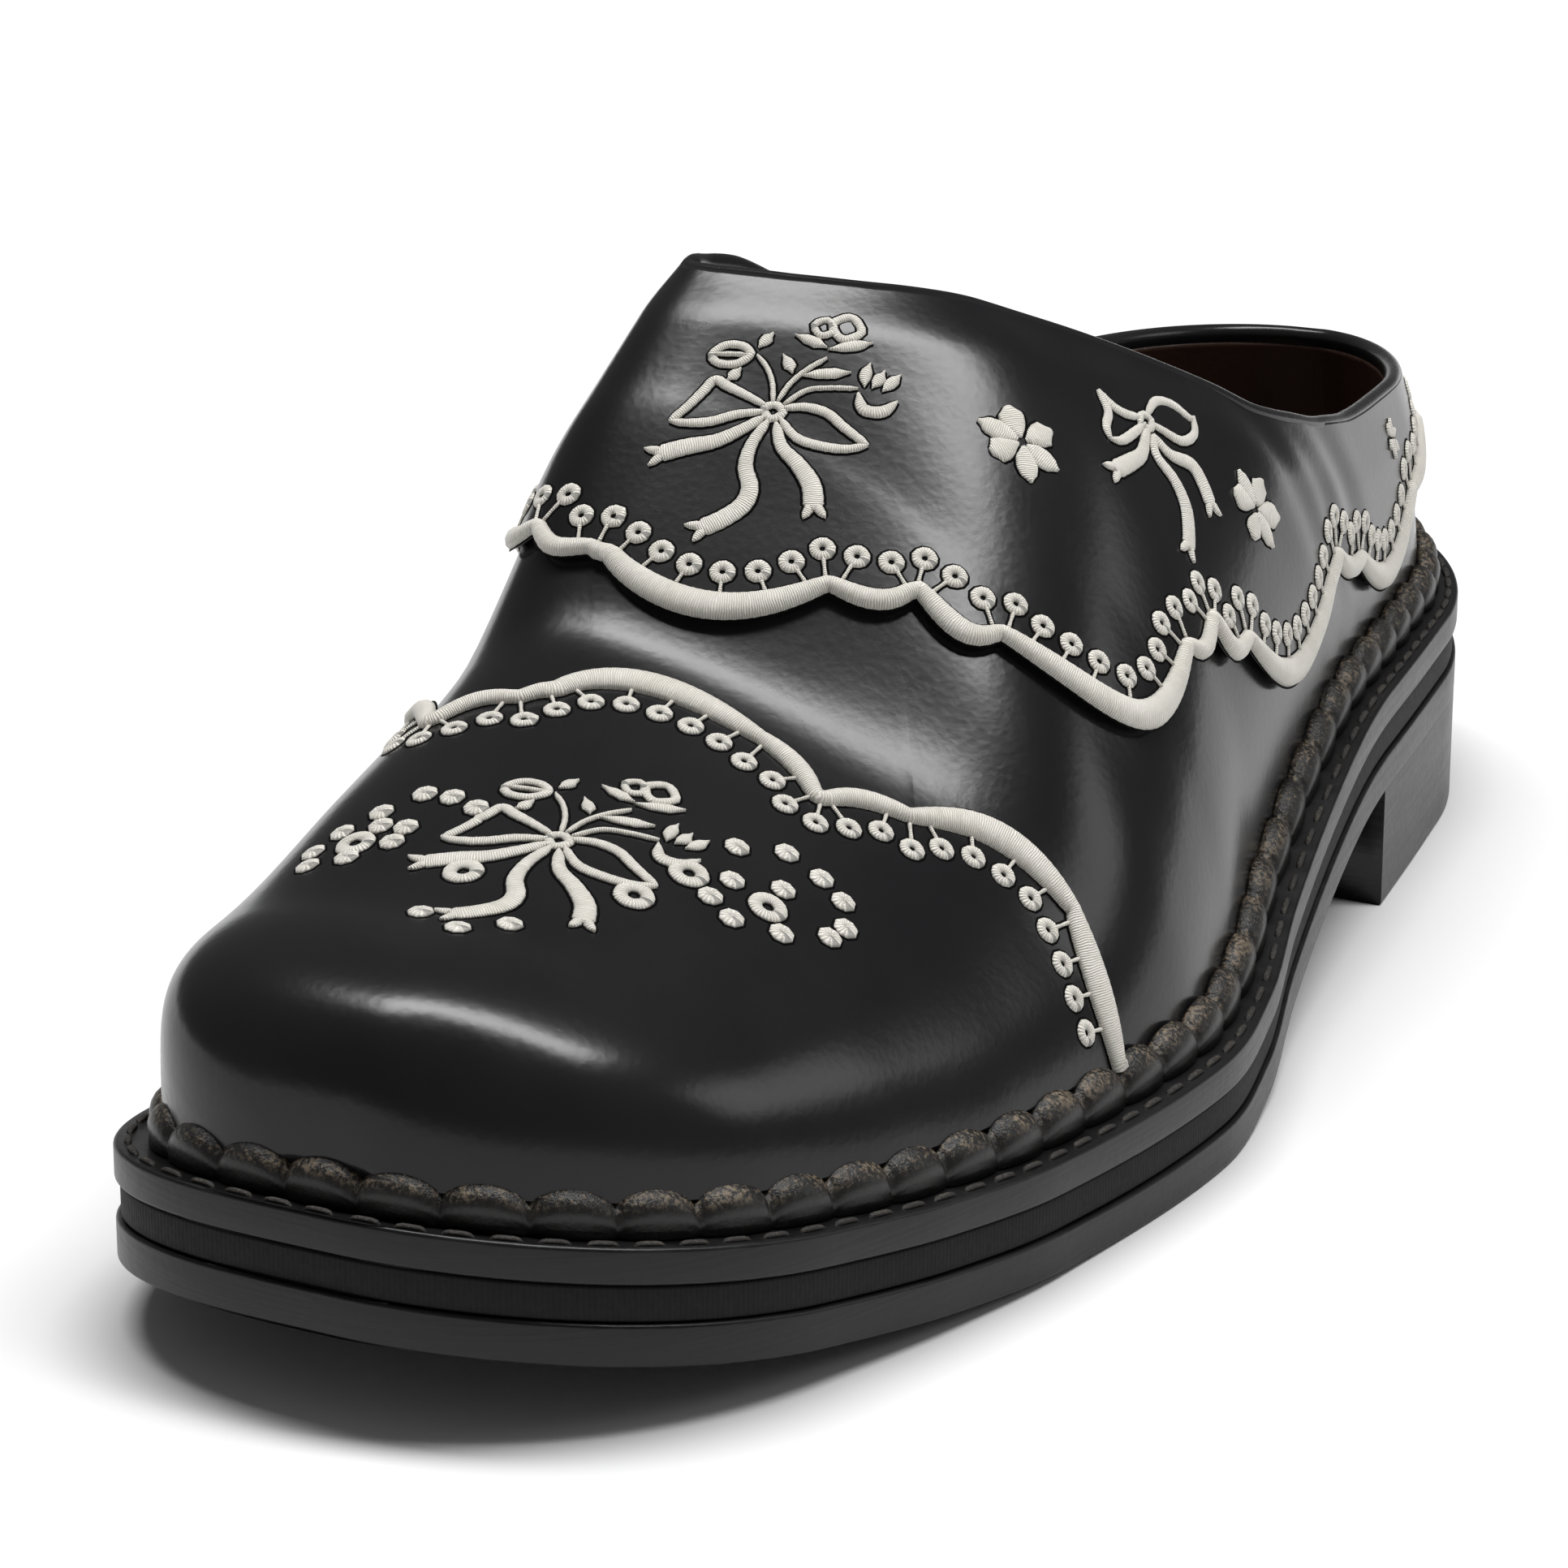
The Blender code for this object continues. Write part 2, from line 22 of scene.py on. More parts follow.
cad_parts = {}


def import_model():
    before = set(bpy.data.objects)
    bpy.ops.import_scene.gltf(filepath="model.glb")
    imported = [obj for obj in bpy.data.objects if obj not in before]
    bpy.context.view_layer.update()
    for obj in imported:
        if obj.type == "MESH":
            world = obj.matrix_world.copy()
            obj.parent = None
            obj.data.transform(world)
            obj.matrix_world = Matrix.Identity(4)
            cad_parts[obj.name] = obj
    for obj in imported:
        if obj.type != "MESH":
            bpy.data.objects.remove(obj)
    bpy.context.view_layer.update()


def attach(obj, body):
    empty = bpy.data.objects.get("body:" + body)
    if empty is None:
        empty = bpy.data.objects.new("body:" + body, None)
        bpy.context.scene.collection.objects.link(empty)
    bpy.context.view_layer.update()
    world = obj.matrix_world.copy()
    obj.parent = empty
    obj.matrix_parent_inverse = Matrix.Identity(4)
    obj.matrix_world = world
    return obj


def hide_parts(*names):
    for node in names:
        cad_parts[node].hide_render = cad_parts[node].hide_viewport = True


LOG = logging.getLogger("slip_on")
Array = np.ndarray
Layer = Callable[[Array], Array]
MM = 0.001
CURVE_STEPS = 12
TINY = 1e-12


# Curves and tables


def smooth(x: Array) -> Array:
    """Smooth step from 0 to 1."""
    x = np.clip(x, 0.0, 1.0)
    return x * x * (3.0 - 2.0 * x)


@lru_cache(maxsize=None)
def cubic(rows: tuple, column: int) -> tuple[Array, Array, Array, Array]:
    """Works out a monotone cubic through one column of a table.

    Args:
        rows: Table whose first column holds the places.
        column: Column that holds the values.

    Returns:
        Places, values, steps between places, and slopes.
    """
    table = np.asarray(rows, float)
    xs = table[:, 0]
    ys = table[:, column]
    step = np.diff(xs)
    rise = np.diff(ys) / step
    slope = np.zeros_like(ys)
    slope[0] = rise[0]
    slope[-1] = rise[-1]
    same = rise[:-1] * rise[1:] > 0.0
    before = np.where(same, rise[:-1], 1.0)
    after = np.where(same, rise[1:], 1.0)
    near = 2.0 * step[1:] + step[:-1]
    far = step[1:] + 2.0 * step[:-1]
    slope[1:-1] = np.where(same, (near + far) / (near / before + far / after), 0.0)
    return xs, ys, step, slope


def read(rows: tuple, column: int, x: Array) -> Array:
    """Reads one column of a table at given places, by its monotone cubic.

    Args:
        rows: Table whose first column holds the places.
        column: Column that holds the values.
        x: Places to read at; those past the table read as its ends.

    Returns:
        The values.
    """
    xs, ys, step, slope = cubic(rows, column)
    x = np.clip(np.asarray(x, float), xs[0], xs[-1])
    i = np.clip(np.searchsorted(xs, x, side="right") - 1, 0, len(xs) - 2)
    t = (x - xs[i]) / step[i]
    value = (1.0 + 2.0 * t) * (1.0 - t) ** 2 * ys[i]
    value += t * (1.0 - t) ** 2 * step[i] * slope[i]
    value += t * t * (3.0 - 2.0 * t) * ys[i + 1]
    value += t * t * (t - 1.0) * step[i] * slope[i + 1]
    return value


def close_end(distance: Array, radius: Array, power: Array) -> Array:
    """Share of the full width at a distance from an end that closes as a superellipse."""
    inner = 1.0 - np.clip(distance / radius, 0.0, 1.0)
    return (1.0 - inner**power) ** (1.0 / power)


def unit(vectors: Array) -> Array:
    """Vectors scaled to length one."""
    size = np.linalg.norm(vectors, axis=-1, keepdims=True)
    return vectors / np.maximum(size, TINY)


def run_length(path: Array) -> Array:
    """Running length along a path of points, starting at zero."""
    steps = np.linalg.norm(np.diff(path, axis=0), axis=1)
    return np.concatenate([[0.0], np.cumsum(steps)])


def resample(path: Array, places: Array) -> Array:
    """Points of a path at given running lengths, by straight interpolation."""
    run = run_length(path)
    return np.stack([np.interp(places, run, path[:, k]) for k in range(path.shape[1])], 1)


def soft_curve(points: Array, count: int, closed: bool = False) -> Array:
    """A Catmull-Rom curve through points, evenly spaced along its length.

    Args:
        points: Control points, one row each.
        count: Number of points to return.
        closed: Whether the last point leads back to the first.

    Returns:
        Points of the curve.
    """
    points = np.asarray(points, float)
    if closed:
        held = np.concatenate([points[-1:], points, points[:2]])
    else:
        held = np.concatenate([2 * points[:1] - points[1:2], points, 2 * points[-1:] - points[-2:-1]])
    a, b, c, d = held[:-3, None], held[1:-2, None], held[2:-1, None], held[3:, None]
    t = np.linspace(0.0, 1.0, CURVE_STEPS, endpoint=False)[None, :, None]
    value = 0.5 * (2 * b + (c - a) * t + (2 * a - 5 * b + 4 * c - d) * t**2)
    value = value + 0.5 * (3 * b - a - 3 * c + d) * t**3
    path = value.reshape(-1, points.shape[1])
    path = np.concatenate([path, points[:1] if closed else points[-1:]])
    places = np.linspace(0.0, run_length(path)[-1], count, endpoint=not closed)
    return resample(path, places)


# The last and the sole


@dataclass(frozen=True)
class ShoeSizes:
    """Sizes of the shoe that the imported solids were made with, in metres."""

    length: float = 0.2705
    ball_width: float = 0.0984
    instep_height: float = 0.0968
    toe_spring: float = 0.0100
    heel_rise: float = 0.0154
    outsole: float = 0.0048
    midsole: float = 0.0037
    welt: float = 0.0041
    layer_gap: float = 0.0003
    seat_gap: float = 0.0005
    inset: float = 0.0064
    insole: float = 0.0030
    girth: float = 0.0750
    scallop: float = 0.0070


@dataclass(frozen=True)
class SoleShape:
    """Plan, rocker and thickness of the sole."""

    size: ShoeSizes = ShoeSizes()
    ball: float = 0.332
    arch_start: float = 0.405
    arch_end: float = 0.724
    breast: float = 0.717
    lateral_toe: tuple = (0.188, 2.0)
    medial_toe: tuple = (0.184, 3.1)
    heel_end: tuple = (0.155, 2.05)
    blunt: float = 0.0002
    trace_steps: int = 900
    trace_reach: float = 0.0012
    plan: tuple = (
        # share, lateral, medial
        (0.000, 0.444, 0.410),
        (0.121, 0.444, 0.410),
        (0.254, 0.516, 0.435),
        (0.387, 0.554, 0.446),
        (0.460, 0.525, 0.395),
        (0.529, 0.477, 0.330),
        (0.661, 0.411, 0.293),
        (0.793, 0.356, 0.305),
        (0.915, 0.301, 0.303),
        (1.000, 0.259, 0.295),
    )

    def underside(self, y: Array) -> Array:
        """Height of the outsole's underside: toe spring and arch.

        The spring is a parabola ahead of the ball, the arch a smooth step behind it.

        Args:
            y: Stations.

        Returns:
            Heights over the floor.
        """
        size = self.size
        toe = size.toe_spring * np.clip(1.0 - y / (self.ball * size.length), 0.0, 1.0) ** 2
        arch = (y / size.length - self.arch_start) / (self.arch_end - self.arch_start)
        return toe + size.heel_rise * smooth(arch)

    def thickness(self) -> float:
        """Height of the three layers together."""
        size = self.size
        return size.outsole + size.midsole + size.welt + 2.0 * size.layer_gap

    def welt_top(self, y: Array) -> Array:
        """Height of the welt's flat strip."""
        return self.underside(y) + self.thickness()

    def half_width(self, y: Array, side: Array, inset: float = 0.0) -> Array:
        """Half width on one side, less an inset all round.

        The plan's width is closed at toe and heel by superellipses.

        Args:
            y: Stations.
            side: +1 for the lateral side, -1 for the medial.
            inset: Distance inside the sole's own outline.

        Returns:
            Half widths.
        """
        length = self.size.length
        out = np.asarray(side) > 0
        full = np.where(out, read(self.plan, 1, y / length), read(self.plan, 2, y / length))
        full = full * self.size.ball_width - inset
        radius = np.where(out, self.lateral_toe[0], self.medial_toe[0]) * length - inset
        power = np.where(out, self.lateral_toe[1], self.medial_toe[1])
        toe = close_end(y - inset + self.blunt, radius, power)
        back = length - inset - y + self.blunt
        heel = close_end(back, self.heel_end[0] * length - inset, self.heel_end[1])
        return full * toe * heel

    def outline(self, inset: float, count: int) -> tuple[Array, Array]:
        """The closed outline, evenly spaced, from the middle of the toe.

        Args:
            inset: Distance inside the sole's own outline.
            count: Number of points.

        Returns:
            Points (x, y) and outward normals, both with one row for each point.
        """
        turn = 0.5 - 0.5 * np.cos(np.linspace(0.0, math.pi, self.trace_steps))
        y = inset + (self.size.length - inset - inset) * turn
        lateral = np.stack([self.half_width(y, 1.0, inset), y], 1)
        medial = np.stack([-self.half_width(y, -1.0, inset), y], 1)
        loop = np.concatenate([lateral, medial[::-1]])
        loop = np.concatenate([loop, loop[:1]])
        total = run_length(loop)[-1]
        places = (np.arange(count) + 0.5) / count * total
        points = resample(loop, places)
        ahead = resample(loop, (places + self.trace_reach) % total)
        behind = resample(loop, (places - self.trace_reach) % total)
        run = unit(ahead - behind)
        return points, np.stack([run[:, 1], -run[:, 0]], 1)


@dataclass(frozen=True)
class Crease:
    """A soft trough (depth over 0) or ridge, in station share and angle share."""

    station: float
    angle: float
    turn: float
    length: float
    width: float
    depth: float


@dataclass(frozen=True)
class LastShape:
    """Outer face of the upper."""

    sole: SoleShape = SoleShape()
    ridge_end: float = 0.55
    fan_start: float = 0.555
    toe_rise: tuple = (0.107, 4.0)
    bulge: tuple = ((0.10, 0.051), (0.80, 0.027))
    back_lean: tuple = ((0.50, 0.00), (0.75, 0.05), (1.00, 0.22))
    heel_pull: float = 0.165
    centre_start: float = 0.60
    centre_reach: float = 0.35
    bank: float = 0.6
    bank_spread: float = 5.0
    shift_stations: int = 44
    normal_step: tuple = (0.0004, 0.004)
    normal_inside: float = 0.0001
    beside_reach: tuple = (0.0003, 0.003)
    locate_reach: tuple = (0.0003, 0.004)
    axis_reach: tuple = (0.0005, 0.005)
    margin: float = 0.0004
    angle_limit: float = 0.99
    beside_steps: int = 6
    locate_steps: int = 12
    first_share: float = 0.8
    locate_step: tuple = (0.004, 0.05)
    least_slope: float = 1e-4
    least_area: float = 1e-10
    ridge: tuple = (
        # share, height, sideways
        (0.050, 0.450, -0.003),
        (0.101, 0.450, -0.030),
        (0.203, 0.514, -0.110),
        (0.305, 0.588, -0.170),
        (0.407, 0.819, -0.205),
        (0.509, 1.000, -0.221),
        (0.610, 0.992, -0.200),
        (0.763, 0.930, -0.060),
        (1.000, 0.870, 0.000),
    )
    sections: tuple = (
        # share, lateral across, lateral up, medial across, medial up
        (0.06, 2.01, 2.34, 3.06, 5.00),
        (0.25, 1.71, 1.61, 3.28, 3.36),
        (0.45, 1.78, 1.64, 4.10, 2.78),
        (0.73, 3.20, 2.40, 3.20, 2.40),
        (1.00, 3.20, 2.40, 3.20, 2.40),
    )
    collar: tuple = (
        # share, lateral, medial
        (0.4620, 0.000, 0.000),
        (0.4630, 0.040, 0.070),
        (0.4700, 0.130, 0.140),
        (0.4880, 0.225, 0.260),
        (0.5160, 0.305, 0.340),
        (0.5420, 0.370, 0.405),
        (0.5780, 0.460, 0.480),
        (0.6050, 0.525, 0.545),
        (0.6300, 0.585, 0.590),
        (0.6650, 0.640, 0.650),
        (0.6990, 0.680, 0.680),
        (0.7450, 0.705, 0.700),
        (0.8150, 0.715, 0.715),
        (0.9000, 0.725, 0.730),
        (1.0000, 0.745, 0.745),
    )
    creases: tuple = (
        Crease(0.640, 0.690, 0.55, 0.016, 0.0032, 0.00045),
        Crease(0.672, 0.735, 0.60, 0.015, 0.0030, 0.00050),
        Crease(0.705, 0.760, 0.70, 0.014, 0.0032, 0.00040),
        Crease(0.640, -0.690, -0.55, 0.014, 0.0032, 0.00035),
        Crease(0.680, -0.735, -0.60, 0.014, 0.0030, 0.00040),
        Crease(0.395, 0.330, 0.10, 0.030, 0.0070, 0.00035),
        Crease(0.340, 0.560, -0.25, 0.026, 0.0080, 0.00030),
        Crease(0.315, 0.060, 0.00, 0.030, 0.0060, 0.00030),
    )

    @property
    def start(self) -> float:
        """First station of the feather line."""
        return self.sole.size.inset

    @property
    def end(self) -> float:
        """Last station of the feather line."""
        return self.sole.size.length - self.sole.size.inset

    def shift(self) -> Array:
        """Takes the last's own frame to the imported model's.

        Returns:
            The move (x, y, z).
        """
        turn = 0.5 - 0.5 * np.cos(np.linspace(0.0, math.pi, self.shift_stations))
        y = self.sole.size.length * turn
        lateral = self.sole.half_width(y, 1.0).max()
        medial = self.sole.half_width(y, -1.0).max()
        return np.array([0.5 * (medial - lateral), -0.5 * self.sole.size.length, 0.0])

    def base(self, y: Array, angle: Array) -> Array:
        """Point of the bare last: superellipse sections from feather to ridge.

        Sine and cosine of the angle share, each raised to 2 over its power, carry a
        section from the ridge to the feather; a bell swells the side, and towards the
        heel the section leans forward with its height.

        Args:
            y: Stations.
            angle: Angle shares.

        Returns:
            Points in the last's own frame.
        """
        size = self.sole.size
        y, angle = np.broadcast_arrays(np.asarray(y, float), np.asarray(angle, float))
        side = np.where(angle >= 0.0, 1.0, -1.0)
        share = y / size.length
        lateral = self.sole.half_width(y, 1.0, size.inset)
        medial = self.sole.half_width(y, -1.0, size.inset)
        reach = np.where(side > 0, lateral, medial)
        ridge_x = read(self.ridge, 2, share) * size.ball_width
        blend = smooth((share - self.centre_start) / self.centre_reach)
        ridge_x = ridge_x * (1.0 - blend) + 0.5 * (lateral - medial) * blend
        back = self.heel_pull * size.length - size.inset
        ridge_y = y - back * smooth((share - self.ridge_end) / (1.0 - self.ridge_end))
        height = read(self.ridge, 1, ridge_y / size.length) * size.instep_height
        height = height - self.sole.welt_top(y) - size.seat_gap
        height = height * close_end(y - self.start, self.toe_rise[0] * size.length, self.toe_rise[1])
        across = np.where(side > 0, read(self.sections, 1, share), read(self.sections, 3, share))
        up = np.where(side > 0, read(self.sections, 2, share), read(self.sections, 4, share))
        turn = np.abs(angle) * math.pi / 2.0
        out = np.sin(turn) ** (2.0 / across)
        rise = np.cos(turn) ** (2.0 / up)
        bulge = read(self.bulge, 1, share) * np.sin(2.0 * turn) ** 2 * np.sin(turn) ** 2
        lean = 1.0 - read(self.back_lean, 1, share) * rise
        x = ridge_x + (side * reach - ridge_x) * (out * lean + bulge)
        y_out = ridge_y + (y - ridge_y) * out * lean
        z = self.sole.welt_top(y) + size.seat_gap + height * rise
        return np.stack([x, y_out, z], -1)

    def ridge_lift(self, y: Array) -> Array:
        """Height of the ridge over the upper's foot."""
        return self.base(y, 0.0)[:, 2] - self.sole.welt_top(y) - self.sole.size.seat_gap

    def normal(self, y: Array, angle: Array) -> Array:
        """Outward normal by small differences, taken just inside the ends of the last.

        Args:
            y: Stations.
            angle: Angle shares.

        Returns:
            Vectors of length one.
        """
        small_y, small_a = self.normal_step
        y, angle = np.broadcast_arrays(np.asarray(y, float), np.asarray(angle, float))
        first, final = self.start + self.normal_inside, self.end - self.normal_inside
        y = np.clip(y, first, final)
        along = self.base(np.minimum(y + small_y, final), angle)
        along = along - self.base(np.maximum(y - small_y, first), angle)
        low = np.clip(angle - small_a, -1.0, 1.0)
        high = np.clip(angle + small_a, -1.0, 1.0)
        across = self.base(y, high) - self.base(y, low)
        return unit(np.cross(across, along))

    def relief(self, y: Array, angle: Array) -> Array:
        """Height of the soft creases: long bells on the flat pattern, each with soft banks.

        Args:
            y: Stations.
            angle: Angle shares.

        Returns:
            Heights, below zero in a trough.
        """
        size = self.sole.size
        height = np.zeros(np.broadcast(y, angle).shape)
        for crease in self.creases:
            along = y - crease.station * size.length
            around = (angle - crease.angle) * size.girth
            c, s = math.cos(crease.turn), math.sin(crease.turn)
            u = (along * s + around * c) / crease.length
            v = (along * c - around * s) / crease.width
            trough = (1.0 + self.bank) * np.exp(-(v**2)) - self.bank * np.exp(-(v**2) / self.bank_spread)
            height = height - crease.depth * np.exp(-(u**2)) * trough
        return height

    def point(self, y: Array, angle: Array, raised: Array = 0.0) -> Array:
        """Point of the face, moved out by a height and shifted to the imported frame."""
        lift = np.asarray(raised + self.relief(y, angle))[..., None]
        return self.base(y, angle) + lift * self.normal(y, angle) + self.shift()

    def flat(self, pairs: Array) -> Array:
        """Station and angle share as lengths on a flat pattern."""
        return np.stack([pairs[..., 0], pairs[..., 1] * self.sole.size.girth], -1)

    def slopes(self, y: Array, angle: Array, reach: tuple) -> tuple[Array, Array]:
        """How the bare last's points move with the station and with the angle share.

        Args:
            y: Stations.
            angle: Angle shares.
            reach: Distances at which the differences are taken, in each of the two.

        Returns:
            The two slopes at each point.
        """
        far_y, far_a = reach
        by_y = (self.base(y + far_y, angle) - self.base(y - far_y, angle)) / (2.0 * far_y)
        by_a = (self.base(y, angle + far_a) - self.base(y, angle - far_a)) / (2.0 * far_a)
        return by_y, by_a

    def beside(self, path: Array, distance: Array) -> Array:
        """Points of the last at a distance to one side of a path.

        Each point is moved along the cross product of normal and tangent, and brought
        back to the face by Gauss-Newton steps.

        Args:
            path: Station and angle share, one row for each point.
            distance: How far each point is moved.

        Returns:
            Station and angle share of each moved point.
        """
        here = self.base(path[:, 0], path[:, 1])
        run = unit(np.gradient(here, axis=0))
        side = np.cross(self.normal(path[:, 0], path[:, 1]), run)
        target = here + side * np.broadcast_to(distance, len(path))[:, None]
        y, a = path[:, 0].copy(), path[:, 1].copy()
        for _ in range(self.beside_steps):
            miss = self.base(y, a) - target
            by_y, by_a = self.slopes(y, a, self.beside_reach)
            yy, aa, ya = (by_y**2).sum(-1), (by_a**2).sum(-1), (by_y * by_a).sum(-1)
            my, ma = (miss * by_y).sum(-1), (miss * by_a).sum(-1)
            det = np.maximum(yy * aa - ya**2, self.least_area)
            y = np.clip(y - (my * aa - ma * ya) / det, self.start + self.margin, self.end - self.margin)
            a = np.clip(a - (ma * yy - my * ya) / det, -self.angle_limit, self.angle_limit)
        return np.stack([y, a], 1)

    def collar_edge(self, y: Array, lateral: Array) -> Array:
        """Angle share of the collar edge at a station."""
        share = y / self.sole.size.length
        return np.where(lateral, read(self.collar, 1, share), -read(self.collar, 2, share))

    def collar_path(self, count: int = 400) -> Array:
        """The collar edge from the lateral heel over the throat to the medial heel.

        Args:
            count: Number of points on each side.

        Returns:
            Station and angle share, one row for each point.
        """
        start = self.collar[0][0] * self.sole.size.length
        y = start + (self.end - start) * np.linspace(0.0, 1.0, count) ** 2
        lateral = np.stack([y, self.collar_edge(y, True)], 1)[::-1]
        medial = np.stack([y, self.collar_edge(y, False)], 1)
        return np.concatenate([lateral, medial[1:]])

    def facing_collar(self, outer: Array) -> Array:
        """For each point of an outer path, the collar point that its row runs up to.

        Behind the fan's start it is the collar at the same station; ahead of it the
        collar's front is shared out by running length.

        Args:
            outer: Station and angle share of the outer path.

        Returns:
            Station and angle share on the collar.
        """
        fan = self.fan_start * self.sole.size.length
        collar = self.collar_path()
        ahead = np.nonzero(collar[:, 0] < fan)[0]
        front = collar[ahead[0] : ahead[-1] + 1]
        near = np.nonzero(outer[:, 0] < fan)[0]
        a, b = near[0], near[-1]
        shares = run_length(self.flat(outer[a : b + 1]))
        run = run_length(self.flat(front))
        inner = np.stack([outer[:, 0], self.collar_edge(outer[:, 0], outer[:, 1] > 0)], 1)
        for k in range(2):
            inner[a : b + 1, k] = np.interp(shares / shares[-1], run / run[-1], front[:, k])
        return inner

    def locate(self, spots: Array, offsets: Array) -> Array:
        """Places on the last of points that are drawn flat around a spot.

        A point is drawn u metres towards the lateral side and v metres towards the heel
        in the plane that touches the last at its spot, and is carried down along that
        plane's normal by Newton's method.

        Args:
            spots: Station and angle share of the spot of each point, or of them all.
            offsets: Points (u, v), one row each.

        Returns:
            Station and angle share of each point.
        """
        spots = np.broadcast_to(np.asarray(spots, float), offsets.shape)
        y, a = spots[:, 0].copy(), spots[:, 1].copy()
        here = self.base(y, a)
        normal = self.normal(y, a)
        by_y, by_a = self.slopes(y, a, self.axis_reach)
        v_axis = unit(by_y - normal * (by_y * normal).sum(-1, keepdims=True))
        u_axis = np.cross(v_axis, normal)
        ahead = (by_a * u_axis).sum(-1, keepdims=True)
        u_axis = np.where(ahead < 0.0, -u_axis, u_axis)
        axes = np.stack([u_axis, v_axis], 1)
        y = y + offsets[:, 1] * self.first_share
        a = a + offsets[:, 0] / self.sole.size.girth
        far_y, far_a = self.locate_step
        for _ in range(self.locate_steps):
            miss = np.einsum("nij,nj->ni", axes, self.base(y, a) - here) - offsets
            slopes = self.slopes(y, a, self.locate_reach)
            by_y, by_a = (np.einsum("nij,nj->ni", axes, slope) for slope in slopes)
            det = by_y[:, 0] * by_a[:, 1] - by_y[:, 1] * by_a[:, 0]
            det = np.where(det < 0.0, np.minimum(det, -self.least_slope), np.maximum(det, self.least_slope))
            step_y = (miss[:, 0] * by_a[:, 1] - miss[:, 1] * by_a[:, 0]) / det
            step_a = (by_y[:, 0] * miss[:, 1] - by_y[:, 1] * miss[:, 0]) / det
            y = np.clip(y - np.clip(step_y, -far_y, far_y), self.start + self.margin, self.end)
            a = np.clip(a - np.clip(step_a, -far_a, far_a), -self.angle_limit, self.angle_limit)
        return np.stack([y, a], 1)


# Meshes


